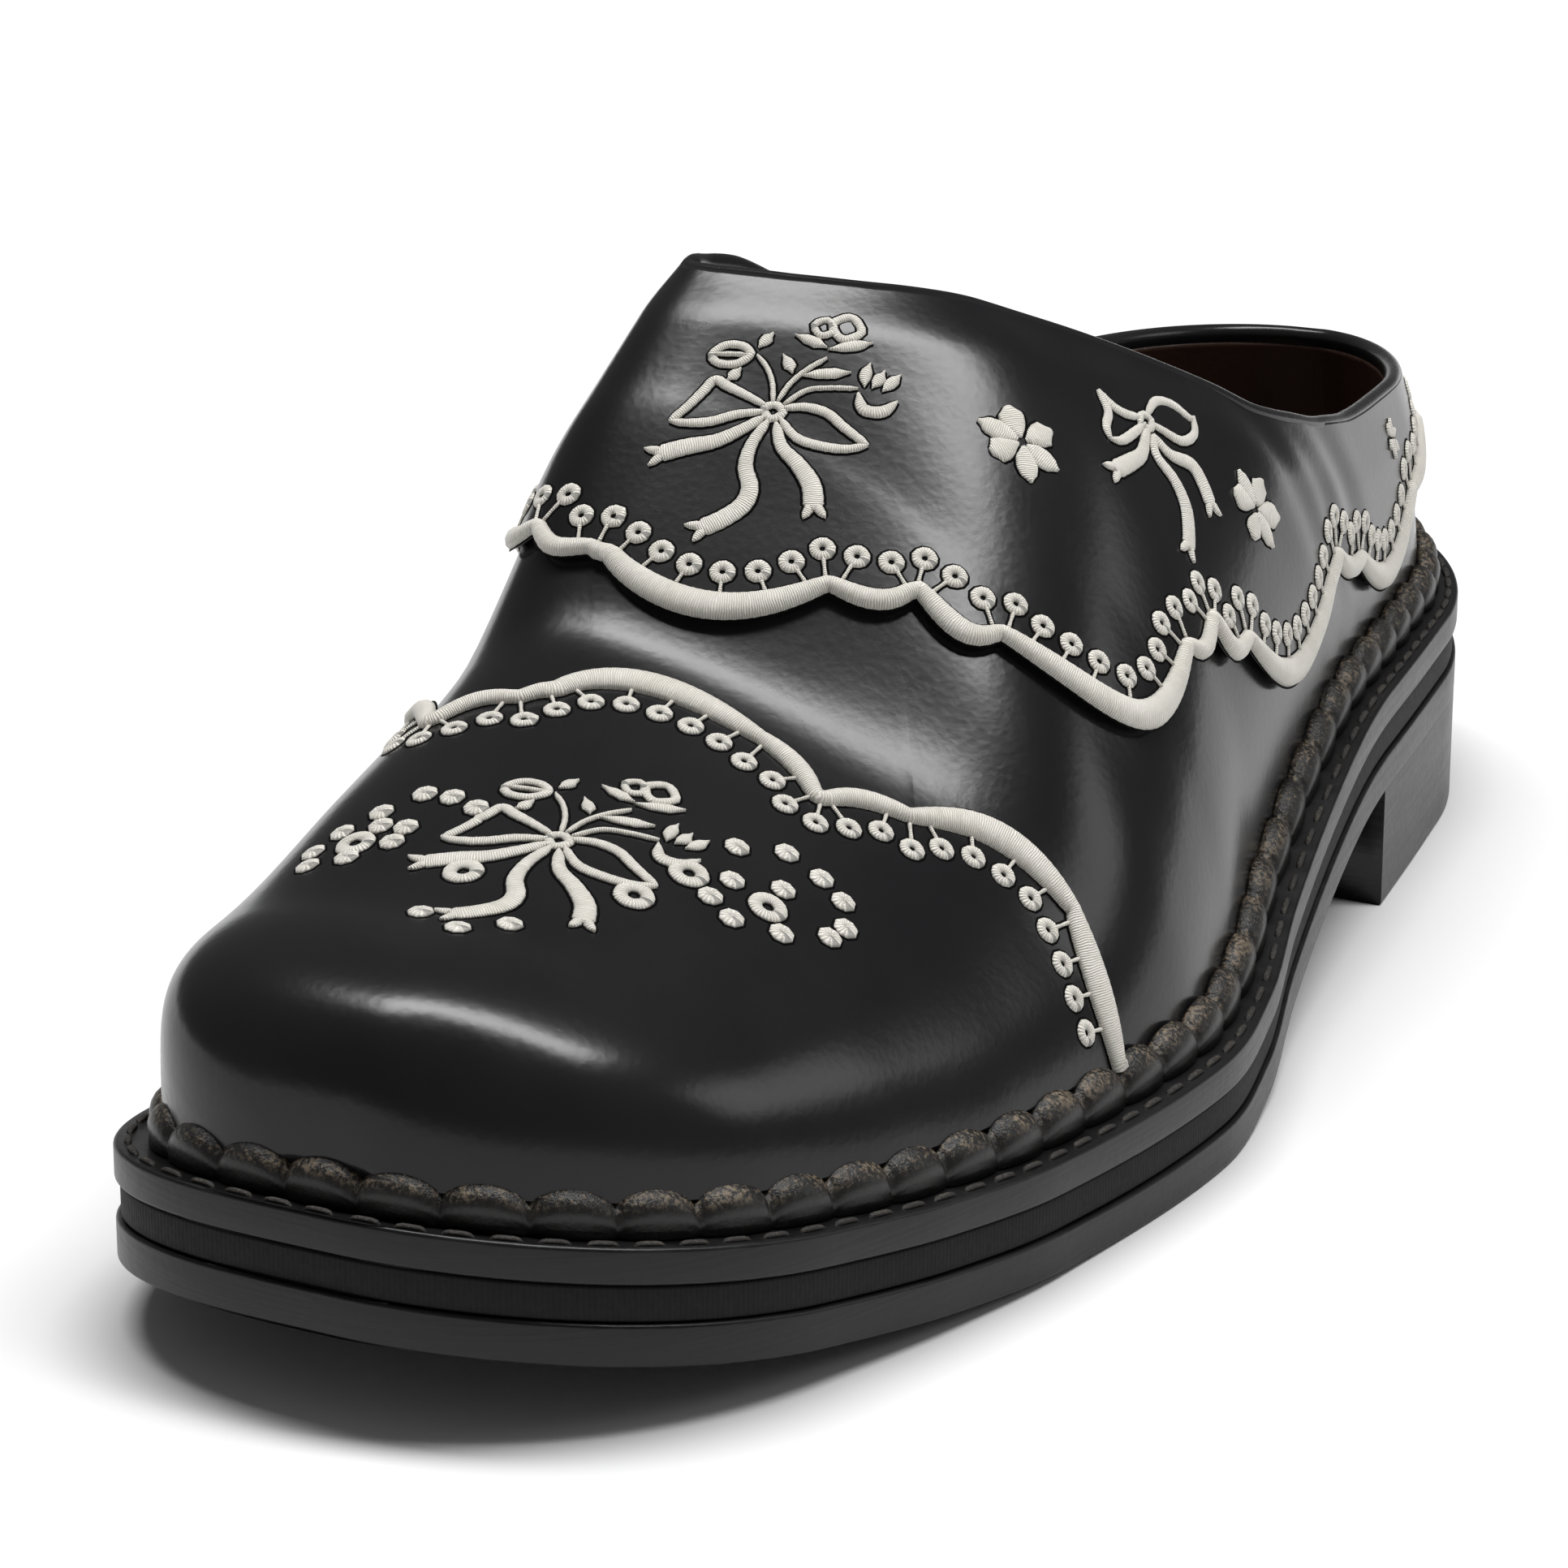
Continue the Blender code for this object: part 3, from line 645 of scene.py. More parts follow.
@dataclass
class Sheets:
    """Collects closed patches of quads, with a UV for each vertex, into one mesh."""

    verts: list = field(default_factory=list)
    quads: list = field(default_factory=list)
    fans: list = field(default_factory=list)
    uvs: list = field(default_factory=list)
    count: int = 0

    def add(self, points: Array, quads: Array, uv: Array, fans: list | None = None) -> None:
        """Adds one patch.

        Args:
            points: Points (n, 3).
            quads: Four numbers of points for each face.
            uv: One UV for each point.
            fans: Polygons that close the patch's ends.
        """
        self.verts.append(points)
        self.quads.append(quads + self.count)
        self.uvs.append(uv)
        for fan in fans or []:
            self.fans.append([int(i) + self.count for i in fan])
        self.count += len(points)

    def shell(self, outer: Array, inner: Array, closed: bool) -> None:
        """Adds a wall between two grids of points, joined along their edges.

        Args:
            outer: Grid (rows, columns, 3) of the outer face.
            inner: Grid of the same size for the inner face.
            closed: Whether the last column meets the first.
        """
        rows, columns = outer.shape[:2]
        ring = np.concatenate([outer, inner[::-1]], 0)
        tall = 2 * rows
        i = np.arange(tall)[:, None]
        wide = columns if closed else columns - 1
        k = np.arange(wide)[None]
        a = i * columns + k
        b = i * columns + (k + 1) % columns
        c = ((i + 1) % tall) * columns + (k + 1) % columns
        d = ((i + 1) % tall) * columns + k
        quads = np.stack([a, b, c, d], -1).reshape(-1, 4)
        fans = []
        if not closed:
            for column, turned in ((0, False), (columns - 1, True)):
                for r in range(rows - 1):
                    quad = [r, r + 1, tall - 2 - r, tall - 1 - r]
                    quad = [q * columns + column for q in quad]
                    fans.append(quad[::-1] if turned else quad)
        low, high = np.meshgrid(np.arange(tall), np.arange(columns), indexing="ij")
        uv = np.stack([high / columns, low / tall], -1).reshape(-1, 2)
        self.add(ring.reshape(-1, 3), quads, uv, fans)

    def skin(self, grid: Array, along: Array, ends: bool) -> None:
        """Adds a grid of points (columns, rows, 3) that meets itself where its ends do.

        Args:
            grid: Points, one row of the array for each column of the surface.
            along: Running length at each column, for the UV.
            ends: Whether the first and last columns are joined by one flat polygon.
        """
        columns, rows = grid.shape[:2]
        i = np.arange(columns - 1)[:, None]
        k = np.arange(rows - 1)[None]
        corners = [i * rows + k, i * rows + k + 1, (i + 1) * rows + k + 1, (i + 1) * rows + k]
        quads = np.stack(corners, -1).reshape(-1, 4)
        share = np.broadcast_to(np.linspace(0.0, 1.0, rows), (columns, rows))
        uv = np.stack([np.broadcast_to(along[:, None], (columns, rows)), share], -1)
        fans = []
        if ends:
            last = (columns - 1) * rows
            fans = [[0] + list(range(last + 1, last + rows - 1)) + list(range(rows - 1, 0, -1))]
        self.add(grid.reshape(-1, 3), quads, uv.reshape(-1, 2), fans)

    def sweep(self, rings: Array, along: Array, closed: bool) -> None:
        """Adds a tube through rings of points (stations, around, 3), its open ends closed.

        Args:
            rings: Points of each ring.
            along: Running length at each ring, for the UV.
            closed: Whether the last ring leads back to the first.
        """
        count, around = rings.shape[:2]
        i = np.arange(count if closed else count - 1)[:, None]
        k = np.arange(around)[None]
        a = i * around + k
        b = i * around + (k + 1) % around
        c = ((i + 1) % count) * around + (k + 1) % around
        d = ((i + 1) % count) * around + k
        quads = np.stack([a, b, c, d], -1).reshape(-1, 4)
        fans = []
        if not closed:
            fans = [list(range(around))[::-1], list(range((count - 1) * around, count * around))]
        share = np.broadcast_to(np.linspace(0.0, 1.0, around), (count, around))
        uv = np.stack([np.broadcast_to(along[:, None], (count, around)), share], -1)
        self.add(rings.reshape(-1, 3), quads, uv.reshape(-1, 2), fans)

    def build(self, name: str, merge: float = 0.0) -> bpy.types.Object:
        """Makes the mesh object, with its faces pointing out and shaded smooth.

        Args:
            name: The piece's name.
            merge: Distance within which doubled vertices are joined, or 0.

        Returns:
            The new object at the origin.
        """
        points = np.concatenate(self.verts)
        quads = np.concatenate(self.quads)
        a, b, c, d = (points[quads[:, k]] for k in range(4))
        volume = (a * np.cross(b, c)).sum() + (a * np.cross(c, d)).sum()
        if volume < 0.0:
            quads = quads[:, ::-1]
            self.fans = [fan[::-1] for fan in self.fans]
        mesh = bpy.data.meshes.new(name)
        mesh.from_pydata(points.tolist(), [], quads.tolist() + self.fans)
        uv = np.concatenate(self.uvs)
        corner = np.empty(len(mesh.loops), np.int32)
        mesh.loops.foreach_get("vertex_index", corner)
        layer = mesh.uv_layers.new(name="run")
        layer.data.foreach_set("uv", uv[corner].astype(np.float32).ravel())
        mesh.polygons.foreach_set("use_smooth", np.ones(len(mesh.polygons), bool))
        mesh.update()
        if merge > 0.0:
            work = bmesh.new()
            work.from_mesh(mesh)
            bmesh.ops.remove_doubles(work, verts=work.verts, dist=merge)
            work.to_mesh(mesh)
            work.free()
        thing = bpy.data.objects.new(name, mesh)
        bpy.context.scene.collection.objects.link(thing)
        return thing


@dataclass
class Piece:
    """A finished piece: its object, its finish and what it stands for."""

    thing: bpy.types.Object
    finish: Finish
    slot: str
    stands_for: tuple = ()

    def place(self) -> None:
        """Dresses the object, makes it ride on the shoe and reports it."""
        self.thing.data.materials.clear()
        self.thing.data.materials.append(self.finish.material())
        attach(self.thing, "root")
        if self.stands_for:
            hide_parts(*self.stands_for)
        LOG.info("%s: %d faces", self.thing.name, len(self.thing.data.polygons))


# Shader maths and finishes


class Wire:
    """A shader socket that can be used in Python expressions."""

    def __init__(self, net: Net, socket: bpy.types.NodeSocket) -> None:
        """Holds a socket of a net."""
        self.net = net
        self.socket = socket

    def _math(self, kind: str, *values: Wire | float) -> Wire:
        """Adds a Math node of a kind."""
        return self.net.node("ShaderNodeMath", {"operation": kind}, dict(enumerate(values)))

    def __add__(self, other: Wire | float) -> Wire:
        """Sum."""
        return self._math("ADD", self, other)

    __radd__ = __add__

    def __sub__(self, other: Wire | float) -> Wire:
        """Difference."""
        return self._math("SUBTRACT", self, other)

    def __rsub__(self, other: float) -> Wire:
        """Difference from a number."""
        return self._math("SUBTRACT", other, self)

    def __mul__(self, other: Wire | float) -> Wire:
        """Product."""
        return self._math("MULTIPLY", self, other)

    __rmul__ = __mul__

    def __pow__(self, other: float) -> Wire:
        """Power."""
        return self._math("POWER", self, other)

    def wave(self, rate: float) -> Wire:
        """A cosine wave between 0 and 1 with a rate in cycles for each unit."""
        return self._math("COSINE", self * (2.0 * math.pi * rate)) * 0.5 + 0.5

    def step(self, low: float, high: float) -> Wire:
        """Rises smoothly from 0 at low to 1 at high."""
        settings = {"interpolation_type": "SMOOTHSTEP"}
        return self.net.node("ShaderNodeMapRange", settings, {0: self, 1: low, 2: high, 3: 0.0, 4: 1.0})


class Net:
    """The node tree of one material."""

    def __init__(self, name: str) -> None:
        """Makes a material with a Principled BSDF.

        Args:
            name: The material's name.
        """
        self.material = bpy.data.materials.new(name)
        self.material.use_nodes = True
        self.tree = self.material.node_tree
        self.shader = self.tree.nodes["Principled BSDF"]

    def node(
        self, kind: str, settings: dict | None = None, sockets: dict | None = None, out: int | str = 0
    ) -> Wire:
        """Adds a node.

        Args:
            kind: Blender's node type.
            settings: Attributes that are set first.
            sockets: Values or wires of its inputs, by name or number.
            out: The output that is wanted.

        Returns:
            The wire of that output.
        """
        made = self.tree.nodes.new(kind)
        for key, value in (settings or {}).items():
            setattr(made, key, value)
        for key, value in (sockets or {}).items():
            if isinstance(value, Wire):
                self.tree.links.new(value.socket, made.inputs[key])
            else:
                made.inputs[key].default_value = value
        return Wire(self, made.outputs[out])

    def place(self) -> Wire:
        """Object coordinates in metres."""
        return self.node("ShaderNodeTexCoord", out="Object")

    def uv(self, which: int) -> Wire:
        """One of the piece's own UV: 0 the running length, 1 the share around."""
        both = self.node("ShaderNodeUVMap", {"uv_map": "run"})
        return self.node("ShaderNodeSeparateXYZ", None, {0: both}, which)

    def noise(self, where: Wire, scale: float, detail: float = 2.0, rough: float = 0.5) -> Wire:
        """Noise between 0 and 1; the scale is in cycles for each metre."""
        sockets = {"Vector": where, "Scale": scale, "Detail": detail, "Roughness": rough}
        return self.node("ShaderNodeTexNoise", None, sockets)

    def cells(self, where: Wire, scale: float) -> Wire:
        """Distance to the nearest of scattered points, for pores."""
        return self.node("ShaderNodeTexVoronoi", None, {"Vector": where, "Scale": scale})

    def mix(self, share: Wire, low: tuple, high: tuple) -> Wire:
        """A colour between two."""
        sockets = {0: share, 6: (*low, 1.0), 7: (*high, 1.0)}
        return self.node("ShaderNodeMix", {"data_type": "RGBA"}, sockets, 2)

    def finish(
        self, colour: Wire | tuple, rough: Wire | float, height: Wire | None, depth: float, **fixed: float
    ) -> bpy.types.Material:
        """Wires the Principled BSDF.

        Args:
            colour: Base colour.
            rough: Roughness.
            height: Height of the relief, or None.
            depth: How deep a height of 1 is, in metres.
            fixed: Plain values of other sockets, with _ for a space.

        Returns:
            The material.
        """
        for name, value in (("Base Color", colour), ("Roughness", rough)):
            if isinstance(value, Wire):
                self.tree.links.new(value.socket, self.shader.inputs[name])
            else:
                value = (*value, 1.0) if isinstance(value, tuple) else value
                self.shader.inputs[name].default_value = value
        if height is not None:
            bump = self.node("ShaderNodeBump", None, {"Height": height, "Distance": depth, "Strength": 1.0})
            self.tree.links.new(bump.socket, self.shader.inputs["Normal"])
        for name, value in fixed.items():
            self.shader.inputs[name.replace("_", " ")].default_value = value
        return self.material


@dataclass(frozen=True)
class Finish:
    """A finish; each kind makes its own material, once."""

    name: str

    def make(self, net: Net) -> bpy.types.Material:
        """Wires the material."""
        raise NotImplementedError

    def material(self) -> bpy.types.Material:
        """The material, made when it is first wanted."""
        held = bpy.data.materials.get(self.name)
        return held if held else self.make(Net(self.name))


@dataclass(frozen=True)
class PolishedLeather(Finish):
    """Polished box calf: black, glossy, with a fine grain and faint wear, its colours lifted as a painted
    sheen.
    """

    # Both colours are near-black tones lifted above the leather's own black as a painted sheen; the second
    # is the worn tone.
    dark: tuple = (0.0075, 0.0075, 0.0084)
    worn_and_sheen: tuple = (0.0120, 0.0118, 0.0124)
    rough: float = 0.22
    cloud_scale: float = 32.0
    slow_scale: float = 90.0
    pore_scale: float = 1500.0
    pore_depth: float = 0.00002
    coat: float = 0.12
    coat_rough: float = 0.20
    gloss: float = 0.26
    wear: tuple = (0.35, 0.75)

    def make(self, net: Net) -> bpy.types.Material:
        """Noise sets the wear and the gloss, scattered cells and noise the grain.

        Args:
            net: Network that takes the nodes.

        Returns:
            The material.
        """
        where = net.place()
        cloud = net.noise(where, self.cloud_scale, 3.0)
        fine = net.noise(where, self.pore_scale)
        pores = net.cells(where, self.pore_scale * 0.55)
        slow = net.noise(where, self.slow_scale)
        # Random wear between the two tones, both carrying the painted sheen.
        colour = net.mix(cloud.step(*self.wear), self.dark, self.worn_and_sheen)
        rough = cloud * 0.06 + fine * 0.05 + (self.rough - 0.05)
        height = fine * 0.5 + pores * 0.5 + slow * 1.2
        coat = {"Coat_Weight": self.coat, "Coat_Roughness": self.coat_rough}
        return net.finish(colour, rough, height, self.pore_depth, Specular_IOR_Level=self.gloss, **coat)


@dataclass(frozen=True)
class Thread(Finish):
    """Satin stitch: threads laid across the run, with an ivory sheen."""

    light: tuple = (0.84, 0.815, 0.755)
    shade: tuple = (0.56, 0.525, 0.455)
    pitch: float = 0.00027
    depth: float = 0.00008
    sheen: float = 0.25
    wobble_scale: float = 700.0
    blotch_scale: float = 260.0
    fibre_scale: float = 2600.0
    rough: float = 0.55
    sheen_rough: float = 0.4
    tint: tuple = (0.15, 0.75)

    def make(self, net: Net) -> bpy.types.Material:
        """Waves along the run are the threads; noise breaks them up.

        Args:
            net: Network that takes the nodes.

        Returns:
            The material.
        """
        where = net.place()
        run = net.uv(0)
        wobble = net.noise(where, self.wobble_scale)
        threads = (run + wobble * (self.pitch * 1.6)).wave(1.0 / self.pitch)
        blotch = net.noise(where, self.blotch_scale)
        share = threads * 0.55 + blotch * 0.45
        colour = net.mix(share.step(*self.tint), self.shade, self.light)
        height = threads + net.noise(where, self.fibre_scale) * 0.5
        sheen = {"Sheen_Weight": self.sheen, "Sheen_Roughness": self.sheen_rough}
        return net.finish(colour, self.rough, height, self.depth, **sheen)


@dataclass(frozen=True)
class NeedleHoles(Finish):
    """The dark, matt line of needle holes round the embroidery."""

    dark: tuple = (0.0016, 0.0015, 0.0015)
    grain: float = 1800.0
    swing: float = 0.2
    rough: float = 0.75
    gloss: float = 0.1

    def make(self, net: Net) -> bpy.types.Material:
        """Black with the roughness broken by noise."""
        rough = net.noise(net.place(), self.grain) * self.swing + self.rough
        return net.finish(self.dark, rough, None, 0.0, Specular_IOR_Level=self.gloss)


@dataclass(frozen=True)
class EdgePaint(Finish):
    """Painted and burnished sole edge: satin, with faint streaks along the run."""

    dark: tuple = (0.0030, 0.0030, 0.0033)
    light: tuple = (0.0090, 0.0086, 0.0090)
    rough: float = 0.34
    depth: float = 0.00005
    streak_along: float = 45.0
    streak_up: float = 1400.0
    grit_scale: float = 900.0
    gloss: float = 0.35
    tint: tuple = (0.3, 0.8)

    def make(self, net: Net) -> bpy.types.Material:
        """Streaks are noise stretched along the run, by height and running length.

        Args:
            net: Network that takes the nodes.

        Returns:
            The material.
        """
        run = net.uv(0)
        where = net.place()
        z = net.node("ShaderNodeSeparateXYZ", None, {0: where}, 2)
        across = {0: run * self.streak_along, 1: z * self.streak_up, 2: 0.0}
        streak = net.noise(net.node("ShaderNodeCombineXYZ", None, across), 1.0, 3.0)
        grit = net.noise(where, self.grit_scale)
        colour = net.mix(streak.step(*self.tint), self.dark, self.light)
        rough = streak * 0.14 + grit * 0.10 + (self.rough - 0.08)
        height = streak + grit * 0.5
        return net.finish(colour, rough, height, self.depth, Specular_IOR_Level=self.gloss)


@dataclass(frozen=True)
class MattRubber(Finish):
    """Dark middle layer with a fine upright texture."""

    dark: tuple = (0.0014, 0.0014, 0.0015)
    light: tuple = (0.0042, 0.0040, 0.0042)
    pitch: float = 0.00060
    depth: float = 0.00003
    grit_scale: float = 1400.0
    rough: float = 0.6
    gloss: float = 0.3
    tint: tuple = (0.3, 0.9)

    def make(self, net: Net) -> bpy.types.Material:
        """Upright ribs are waves along the run, broken by noise.

        Args:
            net: Network that takes the nodes.

        Returns:
            The material.
        """
        run = net.uv(0)
        where = net.place()
        grit = net.noise(where, self.grit_scale)
        ribs = (run + grit * (self.pitch * 0.5)).wave(1.0 / self.pitch)
        colour = net.mix((ribs * 0.5 + grit * 0.5).step(*self.tint), self.dark, self.light)
        rough = grit * 0.2 + self.rough
        return net.finish(colour, rough, ribs * 0.7 + grit, self.depth, Specular_IOR_Level=self.gloss)


@dataclass(frozen=True)
class GrainyHide(Finish):
    """Raw-topped leather: brownish black, coarse broken grain; up-facing brown is part raw grain, part
    painted highlight.
    """

    dark: tuple = (0.0060, 0.0050, 0.0044)
    brown: tuple = (0.2000, 0.1550, 0.1050)
    rough: float = 0.40
    grain: float = 1900.0
    depth: float = 0.00022
    level: float = 0.55
    cloud_scale: float = 240.0
    highlight_facing: tuple = (0.25, 0.85)

    def make(self, net: Net) -> bpy.types.Material:
        """Speckled noise gives the grain; faces that look up are browner, partly raw grain and partly
        painted highlight.

        Args:
            net: Network that takes the nodes.

        Returns:
            The material.
        """
        where = net.place()
        grit = net.noise(where, self.grain, 3.0, 0.65)
        cloud = net.noise(where, self.cloud_scale)
        face = net.node("ShaderNodeNewGeometry", out="Normal")
        up = net.node("ShaderNodeSeparateXYZ", None, {0: face}, 2)
        # Up-facing mask: the brown it lets in is partly the raw grain and partly a painted highlight on the
        # tops.
        top = up.step(*self.highlight_facing)
        share = (grit * 0.7 + cloud * 0.3).step(self.level - 0.08, self.level + 0.10) * top
        colour = net.mix(share, self.dark, self.brown)
        rough = top * 0.10 + grit * 0.15 + (self.rough - 0.10)
        return net.finish(colour, rough, grit * (top * 0.8 + 0.2), self.depth)


@dataclass(frozen=True)
class LiningLeather(Finish):
    """Smooth dark brown lining leather."""

    dark: tuple = (0.0400, 0.0180, 0.0110)
    light: tuple = (0.0800, 0.0400, 0.0260)
    rough: float = 0.42
    depth: float = 0.00005
    cloud_scale: float = 60.0
    pore_scale: float = 1100.0
    tint: tuple = (0.3, 0.8)

    def make(self, net: Net) -> bpy.types.Material:
        """Clouds of noise for the colour, cells for the pores.

        Args:
            net: Network that takes the nodes.

        Returns:
            The material.
        """
        where = net.place()
        cloud = net.noise(where, self.cloud_scale, 3.0)
        pores = net.cells(where, self.pore_scale)
        colour = net.mix(cloud.step(*self.tint), self.dark, self.light)
        return net.finish(colour, cloud * 0.12 + (self.rough - 0.06), pores, self.depth)


@dataclass(frozen=True)
class StudioPaper(Finish):
    """The pale floor, lit from below where it is far from the shoe."""

    white: tuple = (0.86, 0.86, 0.86)
    glow: float = 1.1
    near: float = 0.22
    far: float = 1.5
    cloud_scale: float = 6.0
    shade: float = 0.99
    rough: float = 0.9
    gloss: float = 0.1

    def make(self, net: Net) -> bpy.types.Material:
        """White with a trace of noise, and a glow that grows with the distance.

        Args:
            net: Network that takes the nodes.

        Returns:
            The material.
        """
        where = net.place()
        share = net.noise(where, self.cloud_scale)
        low = tuple(self.shade * c for c in self.white)
        reach = net.node("ShaderNodeVectorMath", {"operation": "LENGTH"}, {0: where}, "Value")
        glow = net.mix(reach.step(self.near, self.far), (0.0, 0.0, 0.0), (self.glow,) * 3)
        net.tree.links.new(glow.socket, net.shader.inputs["Emission Color"])
        colour = net.mix(share, low, self.white)
        fixed = {"Specular_IOR_Level": self.gloss, "Emission_Strength": 1.0}
        return net.finish(colour, self.rough, None, 0.0, **fixed)


class Finishes(Enum):
    """The finishes of the shoe."""

    # Both leathers have near-black colours lifted as a painted sheen.
    LEATHER = PolishedLeather("polished_black_leather")
    FOLD = PolishedLeather("polished_collar_fold", rough=0.26, coat=0.15)
    THREAD = Thread("ivory_satin_thread")
    HOLES = NeedleHoles("needle_holes")
    EDGE = EdgePaint("painted_sole_edge")
    MIDSOLE = MattRubber("matt_midsole_edge")
    # The rib and the welt thread brown the faces that look up, partly raw grain and partly painted
    # highlight.
    RIB = GrainyHide("grainy_rib_leather")
    WELT_THREAD = GrainyHide(
        "waxed_welt_thread", (0.012, 0.010, 0.008), (0.060, 0.050, 0.036), 0.60, 2200.0
    )
    LINING = LiningLeather("brown_lining")
    FOOTBED = LiningLeather("footbed_leather", (0.030, 0.0155, 0.010), (0.055, 0.031, 0.021), 0.60)
    PAPER = StudioPaper("studio_floor")


# Upper


@dataclass(frozen=True)
class Borders:
    """Scalloped borders, as nodes on the last with arcs that swell between them."""

    last: LastShape = LastShape()
    quarter: tuple = (
        # station, angle, swell
        (1.000, 0.850, 0.15),
        (0.900, 0.820, 0.20),
        (0.840, 0.870, 0.70),
        (0.726, 0.885, 0.22),
        (0.683, 0.845, 0.95),
        (0.544, 0.743, 0.25),
        (0.514, 0.679, 0.20),
        (0.484, 0.662, 0.95),
        (0.393, 0.462, 0.32),
        (0.383, 0.367, 0.22),
        (0.365, 0.282, 0.86),
        (0.346, -0.015, 0.22),
        (0.356, -0.200, 0.35),
        (0.385, -0.500, 1.15),
        (0.523, -0.843, 0.15),
        (0.548, -0.846, 0.15),
        (0.579, -0.895, 0.45),
        (0.700, -0.850, 0.22),
        (0.740, -0.885, 0.60),
        (0.850, -0.870, 0.20),
        (0.900, -0.820, 0.15),
        (1.000, -0.850, 0.00),
    )
    cap: tuple = (
        # station, angle, swell
        (0.327, 0.930, 0.00),
        (0.338, 0.690, 0.53),
        (0.305, 0.467, 0.18),
        (0.281, 0.383, 0.18),
        (0.294, 0.290, 0.70),
        (0.264, -0.025, 0.20),
        (0.245, -0.220, 0.30),
        (0.275, -0.420, 0.30),
        (0.334, -0.800, 0.00),
        (0.334, -0.960, 0.00),
    )
    foot_height: float = 0.0034
    steep: tuple = (1e-8, 1e-3, 80)

    def arcs(self, nodes: tuple, side: float, step: float) -> list[Array]:
        """The arcs of a border: each chord of the flat pattern with a parabola on it.

        Args:
            nodes: Station share, angle share and swell of each node.
            side: +1 or -1, the side that the arcs swell to.
            step: Spacing of the points on the flat pattern.

        Returns:
            Station and angle share of the points of each arc, both ends included.
        """
        size = self.last.sole.size
        table = np.asarray(nodes, float)
        knots = self.last.flat(np.stack([table[:, 0] * size.length, table[:, 1]], 1))
        knots[:, 0] = np.clip(knots[:, 0], self.last.start, self.last.end)
        arcs = []
        for a, b, swell in zip(knots[:-1], knots[1:], table[:-1, 2]):
            chord = b - a
            reach = np.linalg.norm(chord)
            out = side * np.array([chord[1], -chord[0]]) / reach
            count = max(3, int(round(reach / step)))
            t = np.linspace(0.0, 1.0, count + 1)[:, None]
            arc = a + t * chord + out * size.scallop * swell * 4.0 * t * (1.0 - t)
            arcs.append(np.stack([arc[:, 0], arc[:, 1] / size.girth], 1))
        return arcs

    def scallops(self, nodes: tuple, side: float, step: float) -> Array:
        """The whole scalloped line, its arcs joined."""
        arcs = self.arcs(nodes, side, step)
        return np.concatenate([arcs[0][:1]] + [arc[1:] for arc in arcs])

    def foot(self, count: int) -> Array:
        """Low edge of the toe cap, just over the rib, from the lateral to the medial side.

        Args:
            count: Number of points on each side.

        Returns:
            Station and angle share, one row for each point.
        """
        last, size = self.last, self.last.sole.size
        turn = np.linspace(0.0, 1.0, count) ** 2
        steep = last.start + np.geomspace(*self.steep)
        first = np.interp(self.foot_height, last.ridge_lift(steep), steep)
        paths = []
        for side, node in ((1.0, self.cap[0]), (-1.0, self.cap[-1])):
            y = last.start + (node[0] * size.length - last.start) * (1.0 - np.cos(turn * math.pi / 2.0))
            y = np.maximum(y, first)
            up = read(last.sections, 2 if side > 0 else 4, y / size.length)
            rise = np.clip(self.foot_height / np.maximum(last.ridge_lift(y), self.foot_height), 0.0, 1.0)
            angle = np.arccos(rise ** (up / 2.0)) / (math.pi / 2.0)
            paths.append(np.stack([y, side * angle], 1))
        return np.concatenate([paths[0][::-1], paths[1][1:]])


def band(outer: Array, inner: Array, rows: int, front: Array) -> Array:
    """A grid of station and angle share between two paths.

    Args:
        outer: Path of the first row.
        inner: Path of the last row.
        rows: Number of steps between them.
        front: For each column, 0 for even rows and 1 for rows that crowd at the ends,
            most of all at the first, where the toe's face is nearly upright.

    Returns:
        Grid (rows + 1, columns, 2).
    """
    even = np.linspace(0.0, 1.0, rows + 1)[:, None, None]
    crowded = (even * even * (3.0 - 2.0 * even)) ** 2
    t = even + (crowded - even) * front[None, :, None]
    return outer[None] * (1.0 - t) + inner[None] * t


